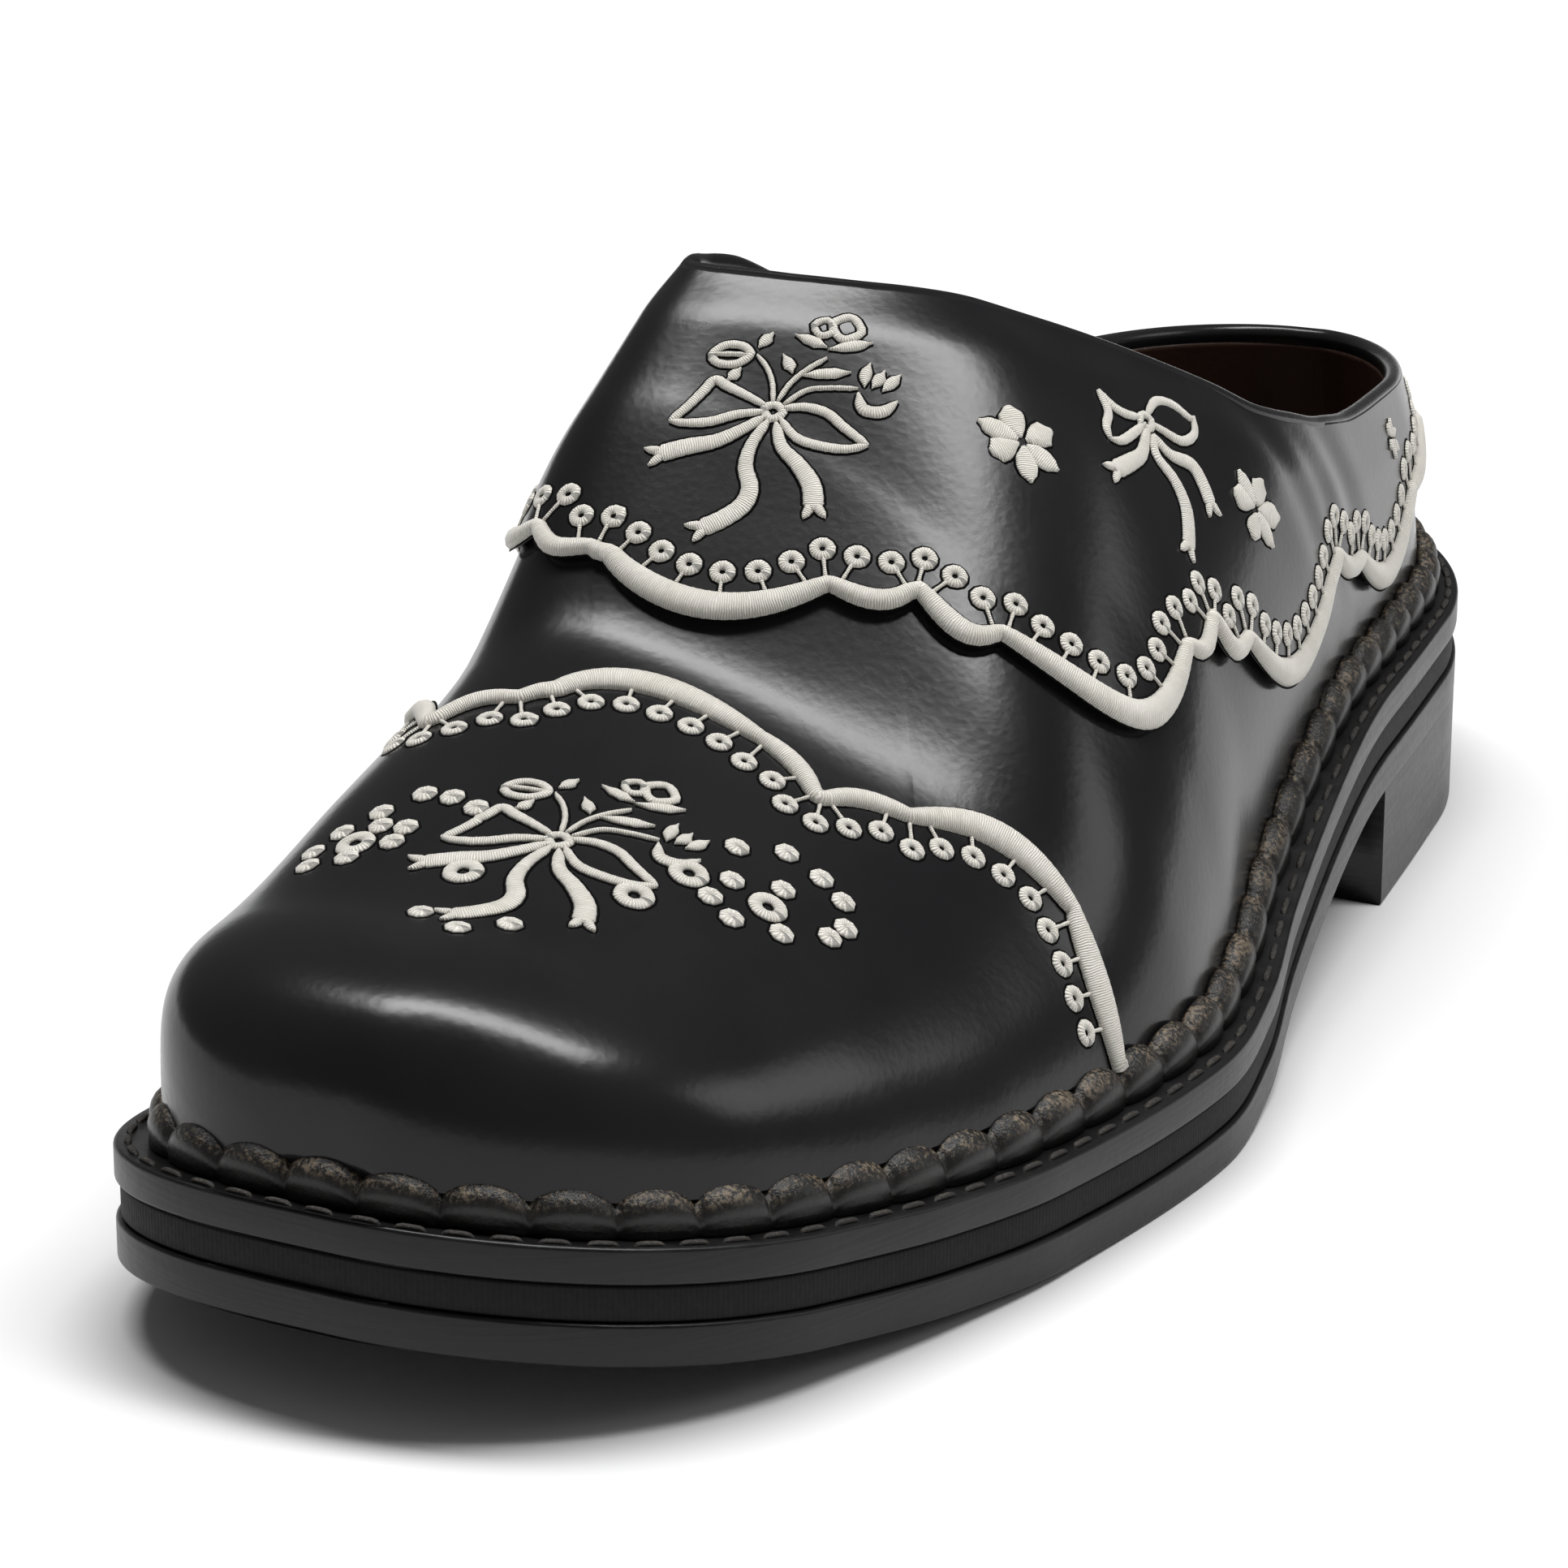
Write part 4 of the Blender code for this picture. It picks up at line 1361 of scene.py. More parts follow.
@dataclass
class UpperBody:
    """Vamp, quarter panel, toe cap, collar fold and lining."""

    last: LastShape = LastShape()
    borders: Borders = Borders()
    vamp_raise: float = 0.0007
    vamp_wall: float = 0.0013
    panel_raise: float = 0.0018
    panel_wall: float = 0.0009
    rim_raise: float = 0.0011
    rim_ease: float = 0.009
    foot_round: float = 0.5
    inner_round: float = 0.9
    look: tuple = (0.0015, 0.03)
    fold_ease: int = 13
    fold_points: int = 26
    fold_places: int = 520
    collar_points: int = 600
    vamp_grid: tuple = (170, 50, 76)
    vamp_share: float = 0.985
    panel_step: float = 0.0010
    panel_rows: int = 52
    panel_top: float = 0.02
    cap_step: float = 0.0008
    cap_rows: int = 90
    foot_points: int = 300
    lining_grid: tuple = (120, 30, 50)
    lining_share: float = 0.965
    lining_raise: float = -0.0007
    lining_wall: float = 0.0009
    fold: tuple = (
        # up over the edge, outwards; mm
        (-3.2, -1.40),
        (-1.2, -1.42),
        (0.1, -1.25),
        (0.8, -0.75),
        (1.05, 0.00),
        (0.75, 0.72),
        (0.1, 1.06),
        (-0.6, 0.95),
        (-0.9, 0.00),
        (-3.2, -0.80),
    )

    def feather(self, count: int, sweep: int) -> Array:
        """The upper's foot: lateral heel, round the toe, medial heel.

        Args:
            count: Number of stations on each side.
            sweep: Number of columns round the toe between the sides.

        Returns:
            Station and angle share, one row for each point.
        """
        turn = 0.5 - 0.5 * np.cos(np.linspace(0.0, math.pi, count))
        y = self.last.start + (self.last.end - self.last.start) * turn
        lateral = np.stack([y, np.ones_like(y)], 1)[::-1]
        medial = np.stack([y, -np.ones_like(y)], 1)
        angle = np.linspace(1.0, -1.0, sweep + 2)[1:-1]
        toe = np.stack([np.full(sweep, self.last.start), angle], 1)
        return np.concatenate([lateral, toe, medial])

    def ahead(self, outer: Array, reach: float) -> Array:
        """How much the rows of each column crowd: 1 at the toe, 0 behind a distance."""
        return smooth(1.0 - outer[:, 0] / reach)

    def wall(
        self, name: str, grid: Array, raised: Array, wall: float, closed: bool, top: float = 0.5
    ) -> bpy.types.Object:
        """A wall over a grid of the last, its outer face raised and its edges rounded.

        Args:
            name: The piece's name.
            grid: Station and angle share (rows, columns, 2).
            raised: Height of the outer face over the last.
            wall: Thickness.
            closed: Whether the last column meets the first.
            top: How much of the thickness the last row is rounded by.

        Returns:
            The wall's object.
        """
        rim = np.zeros(grid.shape[0])
        rim[0] = self.foot_round * wall
        rim[-1] = top * wall
        outer = self.last.point(grid[..., 0], grid[..., 1], raised - rim[:, None])
        inner = self.last.point(grid[..., 0], grid[..., 1], raised - wall + rim[:, None] * self.inner_round)
        sheets = Sheets()
        sheets.shell(outer, inner, closed)
        return sheets.build(name)

    def quarter_raise(self, grid: Array) -> Array:
        """The panel's height: full, and less near the collar.

        Args:
            grid: Station and angle share (rows, columns, 2).

        Returns:
            Height over the last at each point.
        """
        here = self.last.base(grid[..., 0], grid[..., 1])
        steps = np.linalg.norm(np.diff(here, axis=0), axis=-1)
        rest = np.concatenate([np.cumsum(steps[::-1], 0)[::-1], np.zeros((1, grid.shape[1]))])
        near = 1.0 - smooth(rest / self.rim_ease)
        return self.panel_raise - (self.panel_raise - self.rim_raise) * near

    def body(self, name: str, counts: tuple, share: float, raised: float, wall: float) -> bpy.types.Object:
        """A wall from the upper's foot to just short of the collar.

        Args:
            name: The piece's name.
            counts: Stations on each side, columns round the toe, and rows.
            share: How much of the way to the collar it goes.
            raised: Height of its outer face over the last.
            wall: Thickness.

        Returns:
            The wall's object.
        """
        stations, sweep, rows = counts
        outer = self.feather(stations, sweep)
        inner = outer + (self.last.facing_collar(outer) - outer) * share
        reach = self.last.fan_start * self.last.sole.size.length
        grid = band(outer, inner, rows, self.ahead(outer, reach))
        return self.wall(name, grid, np.full(grid.shape[:2], raised), wall, True)

    def vamp(self) -> bpy.types.Object:
        """The body under the panels."""
        return self.body("vamp_body", self.vamp_grid, self.vamp_share, self.vamp_raise, self.vamp_wall)

    def quarter(self) -> bpy.types.Object:
        """The quarter and tongue panel, from its scalloped border to the collar.

        Returns:
            The panel's object.
        """
        outer = self.borders.scallops(self.borders.quarter, 1.0, self.panel_step)
        inner = self.last.facing_collar(outer)
        grid = band(outer, inner, self.panel_rows, np.zeros(len(outer)))
        raised = self.quarter_raise(grid)
        return self.wall("quarter_panel", grid, raised, self.panel_wall, True, self.panel_top)

    def toe_cap(self) -> bpy.types.Object:
        """The toe cap, from just over the rib to its scalloped border.

        Returns:
            The cap's object.
        """
        inner = self.borders.scallops(self.borders.cap[1:-1], -1.0, self.cap_step)
        size = self.last.sole.size
        foot = self.last.flat(self.borders.foot(self.foot_points))
        run = run_length(self.last.flat(inner))
        outer = resample(foot, run / run[-1] * run_length(foot)[-1])
        outer[:, 1] /= size.girth
        ahead = self.ahead(outer, self.borders.cap[0][0] * size.length)
        grid = band(outer, inner, self.cap_rows, ahead)
        raised = np.full(grid.shape[:2], self.panel_raise)
        return self.wall("cap_panel", grid, raised, self.panel_wall, False)

    def collar_rings(self, profile: Array, count: int) -> tuple[Array, Array]:
        """A profile carried round the collar edge.

        Args:
            profile: Points (up over the edge, outwards) in metres.
            count: Number of places round the collar.

        Returns:
            Rings (count, around, 3) and the running length at each.
        """
        path = self.last.collar_path(self.collar_points)
        here = self.last.base(path[:, 0], path[:, 1])
        run = run_length(here)
        places = np.linspace(0.0, run[-1], count)
        path = resample_pairs(path, run, places)
        here = self.last.base(path[:, 0], path[:, 1]) + self.last.shift()
        out = self.last.normal(path[:, 0], path[:, 1])
        back = np.roll(here, 2, axis=0)
        tangent = unit(np.roll(here, -2, axis=0) - back)
        up = unit(np.cross(tangent, out))
        panel = self.last.base(path[:, 0] - self.look[0], path[:, 1] * (1.0 + self.look[1]))
        inside = panel + self.last.shift() - here
        up = np.where((up * inside).sum(-1, keepdims=True) > 0.0, -up, up)
        half = self.fold_ease // 2
        window = np.hanning(self.fold_ease)
        up = unit(sum(np.roll(up, k - half, axis=0) * share for k, share in enumerate(window)))
        rings = here[:, None] + up[:, None] * profile[None, :, :1] + out[:, None] * profile[None, :, 1:]
        return rings, places

    def collar_fold(self) -> bpy.types.Object:
        """The rolled top edge: a hooked profile carried round the collar.

        Returns:
            The fold's object.
        """
        profile = soft_curve(np.asarray(self.fold) * MM, self.fold_points, closed=True)
        rings, along = self.collar_rings(profile, self.fold_places)
        sheets = Sheets()
        sheets.sweep(rings, along, closed=True)
        return sheets.build("collar_fold")

    def lining(self) -> bpy.types.Object:
        """The lining, from the insole to just under the collar fold."""
        share = self.lining_share
        return self.body("lining", self.lining_grid, share, self.lining_raise, self.lining_wall)

    def pieces(self) -> list[Piece]:
        """Builds the upper's pieces with their finishes.

        Returns:
            The pieces, ready to be placed.
        """
        leather = Finishes.LEATHER.value
        return [
            Piece(self.vamp(), leather, "upper", ("upper",)),
            Piece(self.quarter(), leather, "quarter_overlay", ("quarter_overlay",)),
            Piece(self.toe_cap(), leather, "toe_cap", ("toe_cap",)),
            Piece(self.collar_fold(), Finishes.FOLD.value, "quarter_overlay"),
            Piece(self.lining(), Finishes.LINING.value, "upper"),
        ]


def resample_pairs(pairs: Array, run: Array, places: Array) -> Array:
    """Pairs of a path at running lengths measured on the shoe."""
    return np.stack([np.interp(places, run, pairs[:, k]) for k in range(2)], 1)


# Sole


@dataclass
class SoleStack:
    """Outsole, heel block, midsole, welt, footbed and storm rib."""

    sole: SoleShape = SoleShape(blunt=0.00002)
    count: int = 330
    edge_round: float = 0.00045
    edge_steps: int = 5
    face_shares: tuple = (0.0, 0.5, 0.9)
    merge: float = 0.00002
    layer_lap: float = 0.0002
    midsole_setback: float = 0.0005
    heel_lap: float = 0.0008
    heel_setback: float = 0.00003
    footbed_inset: float = 0.0093
    lobes: int = 70
    lobe_stations: int = 16
    rib_section: tuple = (
        # reach from the upper's foot, height over the welt; mm
        (0.40, 0.30),
        (0.40, 4.70),
        (0.90, 5.25),
        (1.70, 5.20),
        (2.45, 4.80),
        (3.05, 4.15),
        (3.45, 3.40),
        (3.62, 2.70),
        (3.60, 2.00),
        (3.50, 1.20),
        (3.55, 0.20),
    )
    valley_drop: float = 0.0018
    valley_reach: float = 0.0008
    valley_height: float = 0.0030
    valley_foot: float = 0.1
    notch_power: float = 0.55
    stitch_pitch: float = 0.0049
    stitch_length: float = 0.0037
    stitch_inset: float = 0.0014
    stitch_half: float = 0.00042
    stitch_flat: float = 0.8
    stitch_tip: float = 0.06
    stitch_sink: tuple = (0.0002, 0.0004)
    stitch_steps: int = 9
    trace_points: int = 2600

    def loop(self, inset: float, first: float = 0.0) -> tuple[Array, Array, Array]:
        """The outline with matched stations on both sides.

        Args:
            inset: Distance inside the sole's own outline.
            first: Distance from the toe where it starts.

        Returns:
            Points (x, y), outward normals, and the middle x of each station.
        """
        length = self.sole.size.length
        start = max(first, inset)
        turn = 0.5 - 0.5 * np.cos(np.linspace(0.0, math.pi, self.count))
        y = start + (length - inset - start) * turn
        lateral = self.sole.half_width(y, 1.0, inset)
        medial = -self.sole.half_width(y, -1.0, inset)
        middle = 0.5 * (lateral + medial)
        lateral[-1] = medial[-1] = middle[-1]
        if first <= inset:
            lateral[0] = medial[0] = middle[0]
        points = np.concatenate([np.stack([lateral, y], 1), np.stack([medial, y], 1)[::-1]])
        run = np.gradient(points, axis=0)
        if first <= inset:
            run[0] = run[-1] = (1.0, 0.0)
        out = unit(np.stack([run[:, 1], -run[:, 0]], 1))
        return points, out, np.concatenate([middle, middle[::-1]])

    def layer(
        self, name: str, inset: float, low: Layer, high: Layer, first: float = 0.0
    ) -> bpy.types.Object:
        """A layer: its outline with rounded edges, closed towards the middle line.

        Args:
            name: The piece's name.
            inset: Distance inside the sole's own outline.
            low: Height of its underside at a station.
            high: Height of its top at a station.
            first: Distance from the toe where it starts.

        Returns:
            The layer's object.
        """
        points, out, middle = self.loop(inset, first)
        turn = np.linspace(0.0, math.pi / 2.0, self.edge_steps)
        corner = np.stack([np.sin(turn) - 1.0, 1.0 - np.cos(turn)], 1) * self.edge_round
        columns = []
        for share in self.face_shares:
            x = middle + (points[:, 0] - out[:, 0] * self.edge_round - middle) * share
            columns.append((x, points[:, 1], low(points[:, 1])))
        for reach, up in corner:
            spot = points + out * reach
            columns.append((spot[:, 0], spot[:, 1], low(points[:, 1]) + up))
        top = [(x, y, low(points[:, 1]) + high(points[:, 1]) - z) for x, y, z in columns[::-1]]
        columns = columns + top
        grid = np.stack([np.stack(column, -1) for column in columns], 1)
        grid[:, :, :2] += np.array(LastShape().shift()[:2])
        sheets = Sheets()
        sheets.skin(grid, run_length(points), first > inset)
        return sheets.build(name, merge=self.merge)

    def heights(self) -> dict[str, tuple[Layer, Layer]]:
        """Underside and top of each layer as functions of the station.

        Returns:
            Two functions for each layer's name.
        """
        sole, size = self.sole, self.sole.size

        def over(height: float) -> Layer:
            """The level at some height over the outsole's underside."""
            return lambda y: sole.underside(y) + height

        mid = size.outsole + size.layer_gap
        top = sole.thickness()
        foot = top + size.layer_gap
        return {
            "heel": (lambda y: 0.0 * y, over(self.heel_lap)),
            "outsole": (sole.underside, over(size.outsole)),
            "midsole": (over(mid - self.layer_lap), over(mid + size.midsole + self.layer_lap)),
            "welt": (over(top - size.welt), over(top)),
            "footbed": (over(foot), over(foot + size.insole)),
        }

    def rib(self) -> bpy.types.Object:
        """The storm rib: a pillow section carried round the upper's foot.

        The section's reach and height drop between the lobes by a sine of the phase
        raised to a power below one, so the lobes are broad and the notches narrow.

        Returns:
            The rib's object.
        """
        count = self.lobes * self.lobe_stations
        path, out = self.sole.outline(self.sole.size.inset, count)
        phase = (np.arange(count) % self.lobe_stations) / self.lobe_stations
        dip = 1.0 - np.abs(np.sin(math.pi * phase)) ** self.notch_power
        section = np.asarray(self.rib_section) * MM
        high = smooth(section[:, 1] / self.valley_height)
        far = np.clip(section[:, 0] / section[:, 0].max() - self.valley_foot, 0.0, 1.0)
        reach = section[None, :, 0] - dip[:, None] * self.valley_reach * far[None]
        height = section[None, :, 1] - dip[:, None] * self.valley_drop * high[None]
        spot = path[:, None] + out[:, None] * reach[..., None]
        z = self.sole.welt_top(spot[..., 1]) + height
        rings = np.concatenate([spot, z[..., None]], -1) + LastShape().shift()
        sheets = Sheets()
        along = np.arange(count) / self.lobe_stations
        sheets.sweep(rings, along, closed=True)
        return sheets.build("storm_rib")

    def stitches(self) -> bpy.types.Object:
        """The welt's stitches: rounded pills laid end to end along the strip.

        Returns:
            The stitches' object.
        """
        path, out = self.sole.outline(self.stitch_inset, self.trace_points)
        run = run_length(path)
        count = int(run[-1] / self.stitch_pitch)
        sheets = Sheets()
        turn = np.linspace(0.0, 2.0 * math.pi, self.stitch_steps)[:-1]
        t = np.linspace(-1.0, 1.0, self.stitch_steps)
        thick = (self.stitch_half * np.sqrt(np.clip(1.0 - t**6, self.stitch_tip, 1.0)))[:, None]
        sink = (self.stitch_sink[0] - self.stitch_sink[1] * t**4)[:, None]
        for k in range(count):
            places = (k + 0.5) * self.stitch_pitch + t * self.stitch_length * 0.5
            spots = resample(path, places % run[-1])
            side = unit(resample_pairs(out, run, places % run[-1]))
            x = spots[:, None, 0] + side[:, None, 0] * thick * np.cos(turn)
            y = spots[:, None, 1] + side[:, None, 1] * thick * np.cos(turn)
            ground = self.sole.welt_top(spots[:, 1])[:, None] + sink
            z = ground + self.stitch_flat * thick * np.sin(turn)
            sheets.sweep(np.stack([x, y, z], -1) + LastShape().shift(), places, closed=False)
        return sheets.build("welt_stitches")

    def pieces(self) -> list[Piece]:
        """Builds the sole's pieces with their finishes.

        Returns:
            The pieces, ready to be placed.
        """
        heights = self.heights()
        breast = self.sole.breast * self.sole.size.length
        edge, middle, bed = Finishes.EDGE.value, Finishes.MIDSOLE.value, Finishes.FOOTBED.value
        layers = (
            # name, level, inset, where it starts, finish, slot and replaced node
            ("outsole_layer", "outsole", 0.0, 0.0, edge, "outsole"),
            ("heel_lift", "heel", self.heel_setback, breast, edge, "heel_block"),
            ("midsole_layer", "midsole", self.midsole_setback, 0.0, middle, "midsole"),
            ("welt_layer", "welt", 0.0, 0.0, edge, "welt"),
            ("footbed", "footbed", self.footbed_inset, 0.0, bed, "insole"),
        )
        made = []
        for name, level, inset, first, finish, slot in layers:
            made.append(Piece(self.layer(name, inset, *heights[level], first), finish, slot, (slot,)))
        made.append(Piece(self.rib(), Finishes.RIB.value, "welt_rib", ("welt_rib",)))
        made.append(Piece(self.stitches(), Finishes.WELT_THREAD.value, "welt"))
        return made


# Whitework


@dataclass(frozen=True)
class Stroke:
    """A satin-stitched line: points in mm and half widths spread evenly along it."""

    points: tuple
    half: tuple = (0.35, 0.5, 0.5, 0.35)
    closed: bool = False
    forked: bool = False


@dataclass(frozen=True)
class Motif:
    """A drawing's place on the shoe: station and angle share, turn in degrees, size."""

    drawing: tuple
    spot: tuple
    turn: float = 0.0
    size: float = 1.0


LEAF = (0.10, 0.62, 0.70, 0.12)
STEM = (0.30, 0.30)
TAIL = (0.50, 0.80, 1.05, 1.15)

POSY = (
    Stroke(
        ((-1.0, 0.4), (-3.4, 1.2), (-6.0, 2.0), (-7.8, 2.6), (-8.6, 0.8), (-9.6, -1.6), (-11.0, -4.0)),
        (0.4, 0.6, 0.6, 0.5),
    ),
    Stroke(((-11.0, -4.0), (-9.0, -3.9), (-6.4, -3.2), (-3.8, -1.6), (-1.0, -0.4)), (0.4, 0.6, 0.6, 0.4)),
    Stroke(((-0.8, -1.2), (-2.6, -3.4), (-5.0, -5.6), (-8.0, -7.0), (-11.0, -8.6)), TAIL, forked=True),
    Stroke(
        (
            (-0.2, -1.6),
            (-0.9, -5.0),
            (-0.6, -8.0),
            (0.8, -10.6),
            (0.8, -13.0),
            (-0.8, -15.4),
            (-3.0, -17.4),
        ),
        TAIL,
        forked=True,
    ),
    Stroke(((0.8, -1.6), (2.4, -4.4), (5.0, -6.2), (7.3, -8.4), (8.6, -11.4)), TAIL, forked=True),
    Stroke(((0.8, 0.6), (3.2, 1.6), (5.8, 1.6), (8.2, 0.4), (11.4, -1.0)), (0.4, 0.6, 0.6, 0.5)),
    Stroke(((11.4, -1.0), (9.2, -2.4), (6.4, -3.0), (3.6, -2.8), (1.0, -0.8)), (0.4, 0.6, 0.6, 0.4)),
    Stroke(((-1.1, 0.0), (0.0, 0.9), (1.1, 0.0), (0.0, -1.2)), (0.5, 0.5), closed=True),
    Stroke(((-0.4, 1.0), (-1.3, 3.6), (-2.6, 5.6), (-4.2, 7.0)), STEM),
    Stroke(
        ((-9.3, 6.0), (-8.2, 7.6), (-6.2, 7.9), (-5.0, 6.9), (-6.2, 5.3), (-8.2, 5.0)),
        (0.5, 0.5),
        closed=True,
    ),
    Stroke(((-9.0, 6.1), (-7.2, 6.5), (-5.2, 6.8)), STEM),
    Stroke(((-4.4, 8.0), (-4.0, 9.2), (-3.4, 10.4)), LEAF),
    Stroke(((-5.4, 4.8), (-5.9, 3.8), (-6.4, 2.8)), LEAF),
    Stroke(((0.0, 1.4), (0.6, 4.2), (1.8, 6.6), (3.4, 8.8)), STEM),
    Stroke(((-1.4, 7.8), (-0.4, 6.8), (0.4, 5.6)), LEAF),
    Stroke(((1.6, 5.6), (3.6, 6.6), (6.6, 7.8)), LEAF),
    Stroke(((0.8, 1.2), (2.6, 3.8), (5.0, 5.0), (8.0, 6.0)), STEM),
    Stroke(((8.2, 5.4), (9.4, 3.6), (11.4, 4.0), (12.6, 6.0)), (0.35, 0.75, 0.75, 0.30)),
    Stroke(((8.6, 6.4), (8.2, 8.0), (8.2, 9.8)), LEAF),
    Stroke(((9.4, 6.6), (9.8, 8.2), (10.0, 9.4)), LEAF),
    Stroke(((10.6, 6.6), (11.2, 8.2), (11.8, 9.6)), LEAF),
    Stroke(((-1.0, 10.8), (1.0, 10.6), (3.0, 10.2)), LEAF),
    Stroke(((3.2, 10.0), (5.6, 11.4), (7.6, 12.6)), LEAF),
    Stroke(((0.6, 12.8), (1.8, 14.0), (3.0, 12.8), (1.8, 11.6)), (0.42, 0.42), closed=True),
    Stroke(((2.5, 13.6), (4.2, 15.3), (5.9, 13.6), (4.2, 11.9)), (0.50, 0.50), closed=True),
)
BOW = (
    Stroke(((-0.4, 0.6), (-2.6, 1.6), (-4.0, 3.0), (-4.8, 5.4)), (0.4, 0.6, 0.6, 0.4)),
    Stroke(((-4.8, 5.4), (-5.4, 2.6), (-7.4, 1.0), (-8.2, -0.6)), (0.4, 0.6, 0.6, 0.5)),
    Stroke(((-8.2, -0.6), (-6.2, -1.2), (-3.0, -0.8), (-0.4, -0.2)), (0.4, 0.6, 0.6, 0.4)),
    Stroke(((0.8, 0.6), (4.0, 1.8), (6.6, 0.8), (8.4, -1.4), (9.2, -1.4)), (0.4, 0.6, 0.6, 0.4)),
    Stroke(((9.2, -1.4), (7.6, -3.4), (4.6, -3.6), (2.0, -1.6), (0.6, -0.4)), (0.4, 0.6, 0.6, 0.4)),
    Stroke(((-1.0, 0.0), (0.1, 0.9), (1.1, 0.0), (0.1, -1.1)), (0.5, 0.5), closed=True),
    Stroke(((0.0, -0.8), (-1.1, -1.4), (-3.8, -3.4), (-6.6, -3.9), (-10.6, -4.2)), TAIL, forked=True),
    Stroke(
        ((-0.1, -1.8), (-1.4, -4.3), (-0.4, -7.6), (-0.6, -11.1), (-2.6, -14.3), (-4.0, -15.6)),
        TAIL,
        forked=True,
    ),
    Stroke(((-0.1, -1.8), (1.2, -4.6), (4.3, -6.6), (4.9, -9.4), (4.7, -12.0)), TAIL, forked=True),
)


def flower(tips: tuple, hole: float = 0.6) -> tuple:
    """Six satin petals round a small dark centre, pointed and round by turns.

    Args:
        tips: Tip (u, v) of each petal in mm and whether it is pointed.
        hole: Radius at which the petals start, in mm.

    Returns:
        The strokes of the drawing.
    """
    strokes = []
    for u, v, pointed in tips:
        reach = math.hypot(u, v)
        start = (u / reach * hole, v / reach * hole)
        half = (0.55, 1.10, 1.30, 1.10, 0.42) if pointed else (0.55, 1.05, 1.50, 1.55, 1.00)
        strokes.append(Stroke((start, (0.5 * (u + start[0]), 0.5 * (v + start[1])), (u, v)), half))
    return tuple(strokes)


def ringlet(radius: float, half: float) -> tuple:
    """An eyelet: a closed ring of satin stitch, both sizes in mm.

    Args:
        radius: Radius of the ring's middle line.
        half: Half width of the stitching.

    Returns:
        The drawing, of one stroke.
    """
    turn = np.linspace(0.0, 2.0 * math.pi, 9)[:-1]
    points = tuple((radius * math.cos(t), radius * math.sin(t)) for t in turn)
    return (Stroke(points, (half, half), closed=True),)


LATERAL_FLOWER = flower(
    (
        (-5.6, -0.2, True),
        (-3.3, 3.5, False),
        (2.4, 3.6, False),
        (5.1, -0.9, True),
        (2.9, -4.5, True),
        (-2.7, -3.5, False),
    )
)
REAR_FLOWER = flower(
    (
        (-5.1, 0.8, True),
        (-1.5, 4.3, False),
        (3.8, 4.3, False),
        (5.4, 0.1, True),
        (2.0, -3.6, False),
        (-4.1, -2.4, False),
    )
)
EYELET = ringlet(0.92, 0.57)
RING = ringlet(1.45, 0.76)
DOT = ringlet(0.62, 0.80)


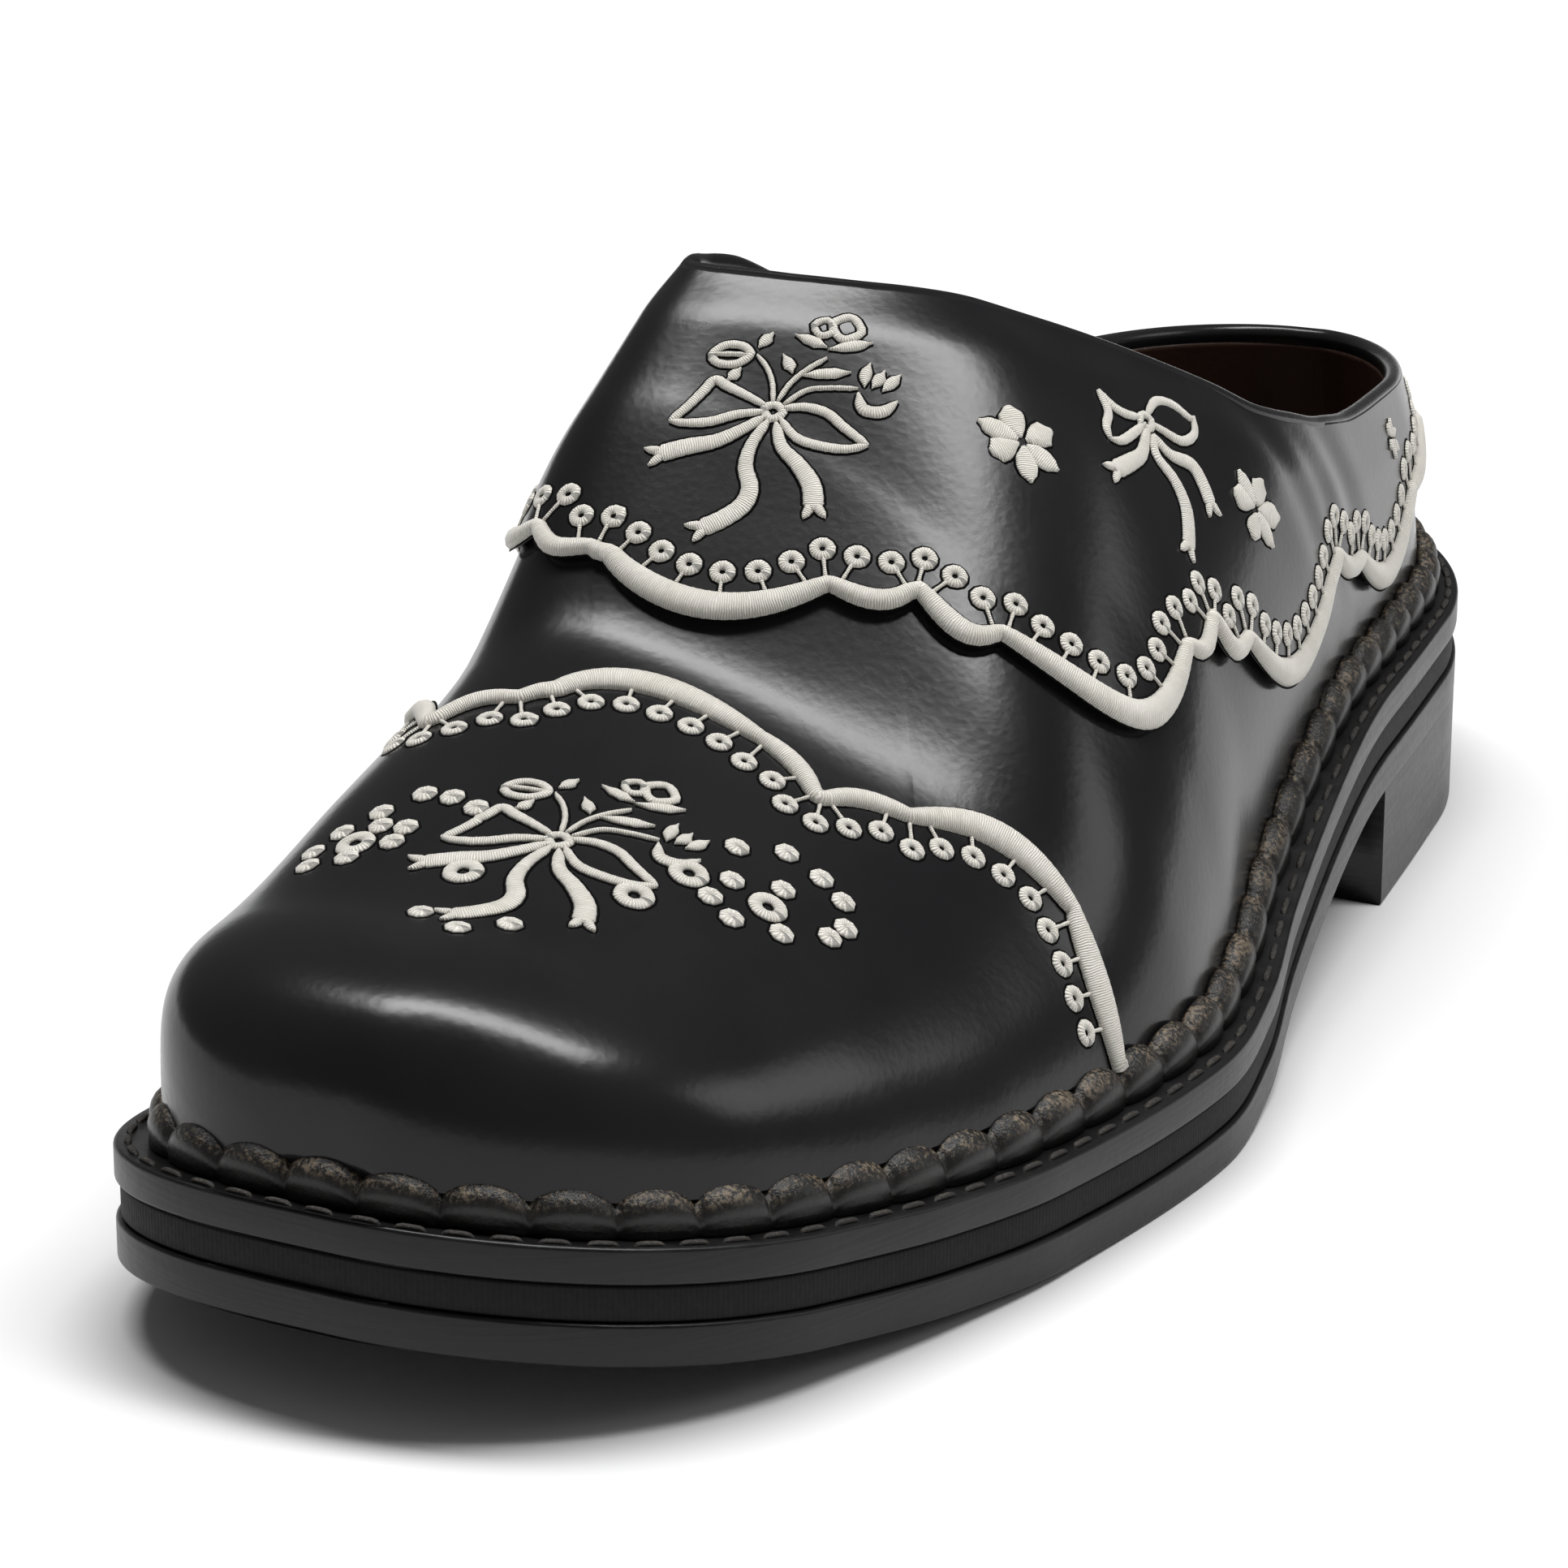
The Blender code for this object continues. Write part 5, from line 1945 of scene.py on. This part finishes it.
@dataclass
class Whitework:
    """Satin-stitched borders, eyelets, flowers, bows and posies with their needle holes."""

    last: LastShape = LastShape()
    borders: Borders = Borders()
    upper: UpperBody = field(default_factory=UpperBody)
    cord_half: tuple = (0.00100, 0.00090)
    cord_high: float = 0.00115
    small_arc: float = 0.011
    small_share: float = 0.6
    swell_power: float = 0.8
    overlap: float = 0.00030
    spacing: float = 0.00040
    stitch_high: float = 0.00045
    ragged: float = 0.00003
    fullness: float = 1.12
    halo: float = 0.00026
    halo_high: float = 0.00010
    around: int = 10
    under: float = 0.35
    least_high: float = 0.0002
    ragged_rate: float = 2.4
    tip: tuple = (0.45, 0.28)
    fork_foot: float = 0.4
    fork_tip: tuple = (1.1, 1.25)
    fork_half: tuple = (0.50, 0.62, 0.60, 0.50, 0.34, 0.12)
    arc_step: float = 0.0005
    ground_points: int = 300
    eyelet_pitch: float = 0.0038
    eyelet_steps: int = 24
    eyelet_clear: float = 0.0024
    cusp_clear: float = 0.0012
    cusp_reach: float = 0.0016
    stalk_root: float = 0.0006
    stalk_half: float = 0.00024
    stalk_reach: float = 0.75
    stalk_flat: float = 0.8
    stalk_points: int = 5
    heel_near: float = 1e-9
    motifs: tuple = (
        Motif(POSY, (0.414, 0.150)),
        Motif(POSY, (0.177, 0.145), -13.0, 1.05),
        Motif(BOW, (0.538, 0.490), 75.5),
        Motif(BOW, (0.565, -0.576), -75.5),
        Motif(LATERAL_FLOWER, (0.467, 0.405)),
        Motif(REAR_FLOWER, (0.588, 0.660)),
        Motif(LATERAL_FLOWER, (0.456, -0.447)),
        Motif(REAR_FLOWER, (0.634, -0.779)),
        Motif(REAR_FLOWER, (0.812, 0.776), 0.0, 0.50),
        Motif(REAR_FLOWER, (0.812, -0.780), 0.0, 0.50),
    )
    rings: tuple = ((0.143, 0.003), (0.165, 0.287), (0.193, 0.330), (0.203, 0.436), (0.153, -0.216))
    dots: tuple = (
        (0.224, 0.352), (0.239, 0.400), (0.239, 0.451), (0.236, 0.490), (0.224, 0.519),
        (0.213, 0.517), (0.195, 0.475), (0.184, 0.414), (0.188, 0.372), (0.204, 0.378),
        (0.218, 0.431), (0.187, -0.098), (0.187, -0.040), (0.183, -0.005), (0.174, -0.189),
        (0.162, -0.284), (0.165, -0.170), (0.165, -0.104), (0.155, -0.120), (0.150, -0.350),
        (0.143, -0.219), (0.139, -0.335), (0.108, -0.012), (0.101, 0.054), (0.116, 0.138),
    )

    def ground(self, pairs: Array) -> Array:
        """Height of the leather over the last: less within reach of the collar.

        Args:
            pairs: Station and angle share of each point.

        Returns:
            The height at each point.
        """
        collar = self.last.collar_path(self.ground_points)
        edge = self.last.base(collar[:, 0], collar[:, 1])
        here = self.last.base(pairs[:, 0], pairs[:, 1])
        gap = np.linalg.norm(here[:, None] - edge[None], axis=-1).min(1)
        near = 1.0 - smooth(gap / self.upper.rim_ease)
        return self.upper.panel_raise - (self.upper.panel_raise - self.upper.rim_raise) * near

    def lay(
        self, pairs: Array, half: Array, high: float, threads: Sheets, holes: Sheets, closed: bool = False
    ) -> None:
        """Lays one line of satin stitch and the needle holes beside it.

        The thread's section is half an ellipse over a shallow one, carried along the
        line; the holes are a flatter, slightly wider strip.

        Args:
            pairs: Station and angle share of the line.
            half: Half width at each point.
            high: Height of the thread in the middle.
            threads: Mesh that takes the thread.
            holes: Mesh that takes the strip.
            closed: Whether the line is a loop.
        """
        ground = self.ground(pairs)
        here = self.last.point(pairs[:, 0], pairs[:, 1], ground)
        out = self.last.normal(pairs[:, 0], pairs[:, 1])
        if closed:
            run = np.roll(here, -1, axis=0) - np.roll(here, 1, axis=0)
        else:
            run = np.gradient(here, axis=0)
        side = unit(np.cross(out, unit(run)))
        turn = np.linspace(0.0, 2.0 * math.pi, self.around + 1)[:-1]
        lift = np.where(np.sin(turn) > 0.0, np.sin(turn), self.under * np.sin(turn))
        along = run_length(here)
        uneven = self.ragged * np.sin(self.ragged_rate * np.arange(len(half)))
        high = max(high, self.least_high)
        for sheet, wide, tall in ((threads, 0.0, high), (holes, self.halo, self.halo_high)):
            reach = (half + uneven + wide)[:, None, None] * np.cos(turn)[None, :, None]
            rise = tall * lift[None, :, None]
            rings = here[:, None] + side[:, None] * reach + out[:, None] * rise
            sheet.sweep(rings, along, closed)

    def widths(self, stroke: Stroke, count: int, size: float) -> Array:
        """Half widths along a stroke, rounded off at open ends.

        Args:
            stroke: The stroke.
            count: Number of points along it.
            size: The motif's size.

        Returns:
            Half widths in metres.
        """
        marks = np.linspace(0.0, 1.0, len(stroke.half))
        t = np.linspace(0.0, 1.0, count)
        half = np.interp(t, marks, stroke.half)
        if not stroke.closed:
            near = np.minimum(t, 1.0 - t) * max(count - 1, 1)
            half = half * np.clip(self.tip[0] + self.tip[1] * near, 0.0, 1.0)
        return half * MM * size * self.fullness

    def outline(self, stroke: Stroke, size: float) -> list[tuple[Array, Array, bool]]:
        """A stroke's line as (points in mm, half widths in metres, closed) parts.

        A forked stroke gets two short points at its end.

        Args:
            stroke: The stroke.
            size: The motif's size.

        Returns:
            The stroke's line, and those of its fork if it has one.
        """
        control = np.asarray(stroke.points, float)
        count = max(7, int(run_length(control)[-1] * size * MM / self.spacing))
        line = soft_curve(control, count, stroke.closed)
        parts = [(line, self.widths(stroke, len(line), size), stroke.closed)]
        if stroke.forked:
            ahead = unit(line[-1] - line[-4])
            across = np.array([-ahead[1], ahead[0]])
            half = np.array(self.fork_half) * MM * size
            for way in (-1.0, 1.0):
                start = line[-1] + self.fork_foot * (way * across - ahead)
                tip = line[-1] + self.fork_tip[0] * ahead + way * self.fork_tip[1] * across
                parts.append((np.linspace(start, tip, len(half)), half, False))
        return parts

    def draw(self, motifs: list[Motif], threads: Sheets, holes: Sheets) -> None:
        """Places every stroke of some motifs on the shoe, all in one search.

        Args:
            motifs: Drawings with their places.
            threads: Mesh that takes the thread.
            holes: Mesh that takes the needle holes.
        """
        lines, spots = [], []
        length = self.last.sole.size.length
        for motif in motifs:
            turn = math.radians(motif.turn)
            right = np.array([math.cos(turn), math.sin(turn)]) * MM * motif.size
            up = np.array([-math.sin(turn), math.cos(turn)]) * MM * motif.size
            for stroke in motif.drawing:
                for line, half, closed in self.outline(stroke, motif.size):
                    lines.append((line[:, :1] * right + line[:, 1:] * up, half, closed))
                    spots.append(np.tile([motif.spot[0] * length, motif.spot[1]], (len(line), 1)))
        pairs = self.last.locate(np.concatenate(spots), np.concatenate([line[0] for line in lines]))
        first = 0
        for line, half, closed in lines:
            self.lay(pairs[first : first + len(line)], half, self.stitch_high, threads, holes, closed)
            first += len(line)

    def cord_widths(self, run: Array) -> Array:
        """Half width of the cord along an arc: more in the middle of the large arcs.

        Args:
            run: Running length along the arc.

        Returns:
            Half width at each point.
        """
        size = run[-1]
        large = min(1.0, max(0.0, size / self.small_arc - self.small_share))
        bell = np.clip(np.sin(math.pi * run / size), 0.0, 1.0) ** self.swell_power
        return self.cord_half[0] + self.cord_half[1] * large * bell

    def border(self, arcs: list[Array], inward: float, threads: Sheets, holes: Sheets) -> None:
        """Cords a scalloped border in one line that peaks at the cusps.

        Args:
            arcs: Arcs of the border.
            inward: +1 or -1, the side of the border that is the panel's.
            threads: Mesh that takes the thread.
            holes: Mesh that takes the needle holes.
        """
        line, half = [], []
        for arc in arcs:
            line.append(arc[1:])
            half.append(self.cord_widths(run_length(self.last.base(arc[:, 0], arc[:, 1])))[1:])
        line, half = np.concatenate(line), np.concatenate(half)
        moved = self.last.beside(line, inward * (half - self.overlap))
        first, final = (arcs[0][0, 0], moved[0, 1]), (arcs[-1][-1, 0], moved[-1, 1])
        moved = np.concatenate([[first], moved, [final]])
        half = np.concatenate([half[:1], half, half[-1:]])
        run = run_length(self.last.base(moved[:, 0], moved[:, 1]))
        places = np.linspace(0.0, run[-1], int(run[-1] / self.spacing))
        pairs = resample_pairs(moved, run, places)
        round_heel = min(arcs[0][0, 0], arcs[-1][-1, 0]) > self.last.end - self.heel_near
        self.lay(pairs, np.interp(places, run, half), self.cord_high, threads, holes, round_heel)

    def eyelets(self, arcs: list[Array], inward: float, threads: Sheets, holes: Sheets) -> None:
        """Stalked eyelets at an even pitch inside a border, further out at each cusp.

        The centres lie on the border moved inwards by the cord's width and a clearance
        that grows by a bell round each cusp; the stalks start at the cord's inner edge.

        Args:
            arcs: Arcs of the border.
            inward: +1 or -1, the side of the border that is the panel's.
            threads: Mesh that takes the thread.
            holes: Mesh that takes the needle holes.
        """
        line, wide, gap = [], [], []
        for arc in arcs:
            run = run_length(self.last.base(arc[:, 0], arc[:, 1]))
            line.append(arc[1:])
            wide.append(2.0 * self.cord_widths(run)[1:])
            gap.append(np.minimum(run, run[-1] - run)[1:])
        line, wide, gap = np.concatenate(line), np.concatenate(wide), np.concatenate(gap)
        clear = self.eyelet_clear + self.cusp_clear * np.exp(-((gap / self.cusp_reach) ** 2))
        far = self.last.beside(line, inward * (wide + clear))
        near = self.last.beside(line, inward * (wide - self.stalk_root))
        run = run_length(self.last.base(far[:, 0], far[:, 1]))
        places = np.linspace(0.0, run[-1], int(run[-1] / self.eyelet_pitch) * self.eyelet_steps)
        far, near = resample_pairs(far, run, places), resample_pairs(near, run, places)
        here = self.last.base(far[:, 0], far[:, 1])
        chosen = [0]
        while chosen[-1] is not None:
            gaps = np.linalg.norm(here[chosen[-1] :] - here[chosen[-1]], axis=1)
            ahead = np.nonzero(gaps >= self.eyelet_pitch)[0]
            chosen.append(chosen[-1] + ahead[0] if len(ahead) else None)
        rings = []
        half = np.full(self.stalk_points, self.stalk_half)
        shares = np.linspace(0.0, self.stalk_reach, self.stalk_points)[:, None]
        for centre, root in zip(far[chosen[1:-1]], near[chosen[1:-1]]):
            rings.append(Motif(EYELET, (centre[0] / self.last.sole.size.length, centre[1])))
            stalk = root + (centre - root) * shares
            self.lay(stalk, half, self.stitch_high * self.stalk_flat, threads, holes)
        self.draw(rings, threads, holes)

    def pieces(self) -> list[Piece]:
        """Builds the embroidery: cords, eyelets, motifs and needle holes.

        Returns:
            The pieces, ready to be placed.
        """
        quarter = (self.borders.arcs(self.borders.quarter, 1.0, self.arc_step), -1.0)
        cap = (self.borders.arcs(self.borders.cap, -1.0, self.arc_step), 1.0)
        made = []
        for name, slot, border in (("quarter", "quarter_overlay", quarter), ("cap", "toe_cap", cap)):
            cords, eyelets, holes = Sheets(), Sheets(), Sheets()
            self.border(*border, cords, holes)
            self.eyelets(*border, eyelets, holes)
            made.append(Piece(cords.build(f"{name}_border_cords"), Finishes.THREAD.value, slot))
            made.append(Piece(eyelets.build(f"{name}_eyelets"), Finishes.THREAD.value, slot))
            made.append(Piece(holes.build(f"{name}_border_holes"), Finishes.HOLES.value, slot))
        threads, holes = Sheets(), Sheets()
        marks = [Motif(RING, spot) for spot in self.rings] + [Motif(DOT, spot) for spot in self.dots]
        self.draw(list(self.motifs) + marks, threads, holes)
        made.append(Piece(threads.build("satin_motifs"), Finishes.THREAD.value, "quarter_overlay"))
        made.append(Piece(holes.build("motif_holes"), Finishes.HOLES.value, "quarter_overlay"))
        return made


# Studio


@dataclass(frozen=True)
class SoftBox:
    """A rectangular soft light, turned about its own axis by some degrees."""

    name: str
    place: tuple
    aim: tuple
    size: tuple
    power: float
    turn: float = 0.0

    def hang(self) -> None:
        """Adds the light, turned to what it is aimed at."""
        lamp = bpy.data.lights.new(self.name, "AREA")
        lamp.shape = "RECTANGLE"
        lamp.size, lamp.size_y = self.size
        lamp.energy = self.power
        thing = bpy.data.objects.new(self.name, lamp)
        thing.location = self.place
        turn = (Vector(self.aim) - Vector(self.place)).to_track_quat("-Z", "Y")
        own = Matrix.Rotation(math.radians(self.turn), 4, "Z")
        thing.rotation_euler = (turn.to_matrix().to_4x4() @ own).to_euler()
        bpy.context.scene.collection.objects.link(thing)


@dataclass
class Studio:
    """Pale floor, soft lights and the camera.

    The camera stands where the photograph's did, turned from the pair to the one shoe.
    """

    azimuth: float = 27.39
    elevation: float = 18.94
    roll: float = 0.134
    place: tuple = (0.2719, -0.56975, 0.2456)
    lens: float = 127.0
    sensor: float = 36.0
    clip: tuple = (0.01, 60.0)
    floor_half: float = 7.0
    floor_cells: int = 8
    air: float = 0.12
    boxes: tuple = (
        SoftBox("top_box", (0.02, 0.14, 1.45), (0.0, 0.0, 0.0), (1.6, 0.32), 29.0, 18.0),
        SoftBox("side_box", (1.5, 0.9, 0.9), (0.0, 0.0, 0.03), (0.7, 0.6), 3.0),
    )

    def floor(self) -> None:
        """A wide plane, stage rather than part."""
        half, cells = self.floor_half, self.floor_cells
        row = cells + 1
        axis = np.linspace(-half, half, row)
        x, y = np.meshgrid(axis, axis)
        points = np.stack([x, y, np.zeros_like(x)], -1).reshape(-1, 3)
        i, k = np.meshgrid(np.arange(cells), np.arange(cells))
        a = (i + row * k).ravel()
        mesh = bpy.data.meshes.new("studio_floor")
        mesh.from_pydata(points.tolist(), [], np.stack([a, a + 1, a + row + 1, a + row], 1).tolist())
        mesh.materials.append(Finishes.PAPER.value.material())
        thing = bpy.data.objects.new("studio_floor", mesh)
        bpy.context.scene.collection.objects.link(thing)

    def camera(self) -> None:
        """The camera, from its angles: the rows of its turn are right, up and back."""
        az, el, roll = (math.radians(v) for v in (self.azimuth, self.elevation, self.roll))
        back = np.array([math.sin(az) * math.cos(el), -math.cos(az) * math.cos(el), math.sin(el)])
        right = np.array([math.cos(az), math.sin(az), 0.0])
        up = np.cross(back, right)
        rolled = math.cos(roll) * right + math.sin(roll) * up
        raised = -math.sin(roll) * right + math.cos(roll) * up
        data = bpy.data.cameras.new("camera")
        data.sensor_width = self.sensor
        data.lens = self.lens
        data.clip_start, data.clip_end = self.clip
        thing = bpy.data.objects.new("camera", data)
        turn = Matrix([rolled, raised, back]).transposed().to_4x4()
        thing.matrix_world = Matrix.Translation(Vector(self.place)) @ turn
        bpy.context.scene.collection.objects.link(thing)
        bpy.context.scene.camera = thing

    def sky(self) -> None:
        """Even pale light from all round."""
        world = bpy.data.worlds.new("studio_air")
        world.use_nodes = True
        shade = world.node_tree.nodes["Background"]
        shade.inputs["Color"].default_value = (1.0, 1.0, 1.0, 1.0)
        shade.inputs["Strength"].default_value = self.air
        bpy.context.scene.world = world
        bpy.context.scene.view_settings.view_transform = "Standard"

    def build(self) -> None:
        """Sets up the whole studio."""
        self.floor()
        self.sky()
        for box in self.boxes:
            box.hang()
        self.camera()


def main() -> None:
    """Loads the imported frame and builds, dresses and reports every piece."""
    logging.basicConfig(level=logging.INFO, format="%(name)s: %(message)s")
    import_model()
    for group in (UpperBody(), SoleStack(), Whitework()):
        for piece in group.pieces():
            piece.place()
    Studio().build()


if __name__ == "__main__":
    main()
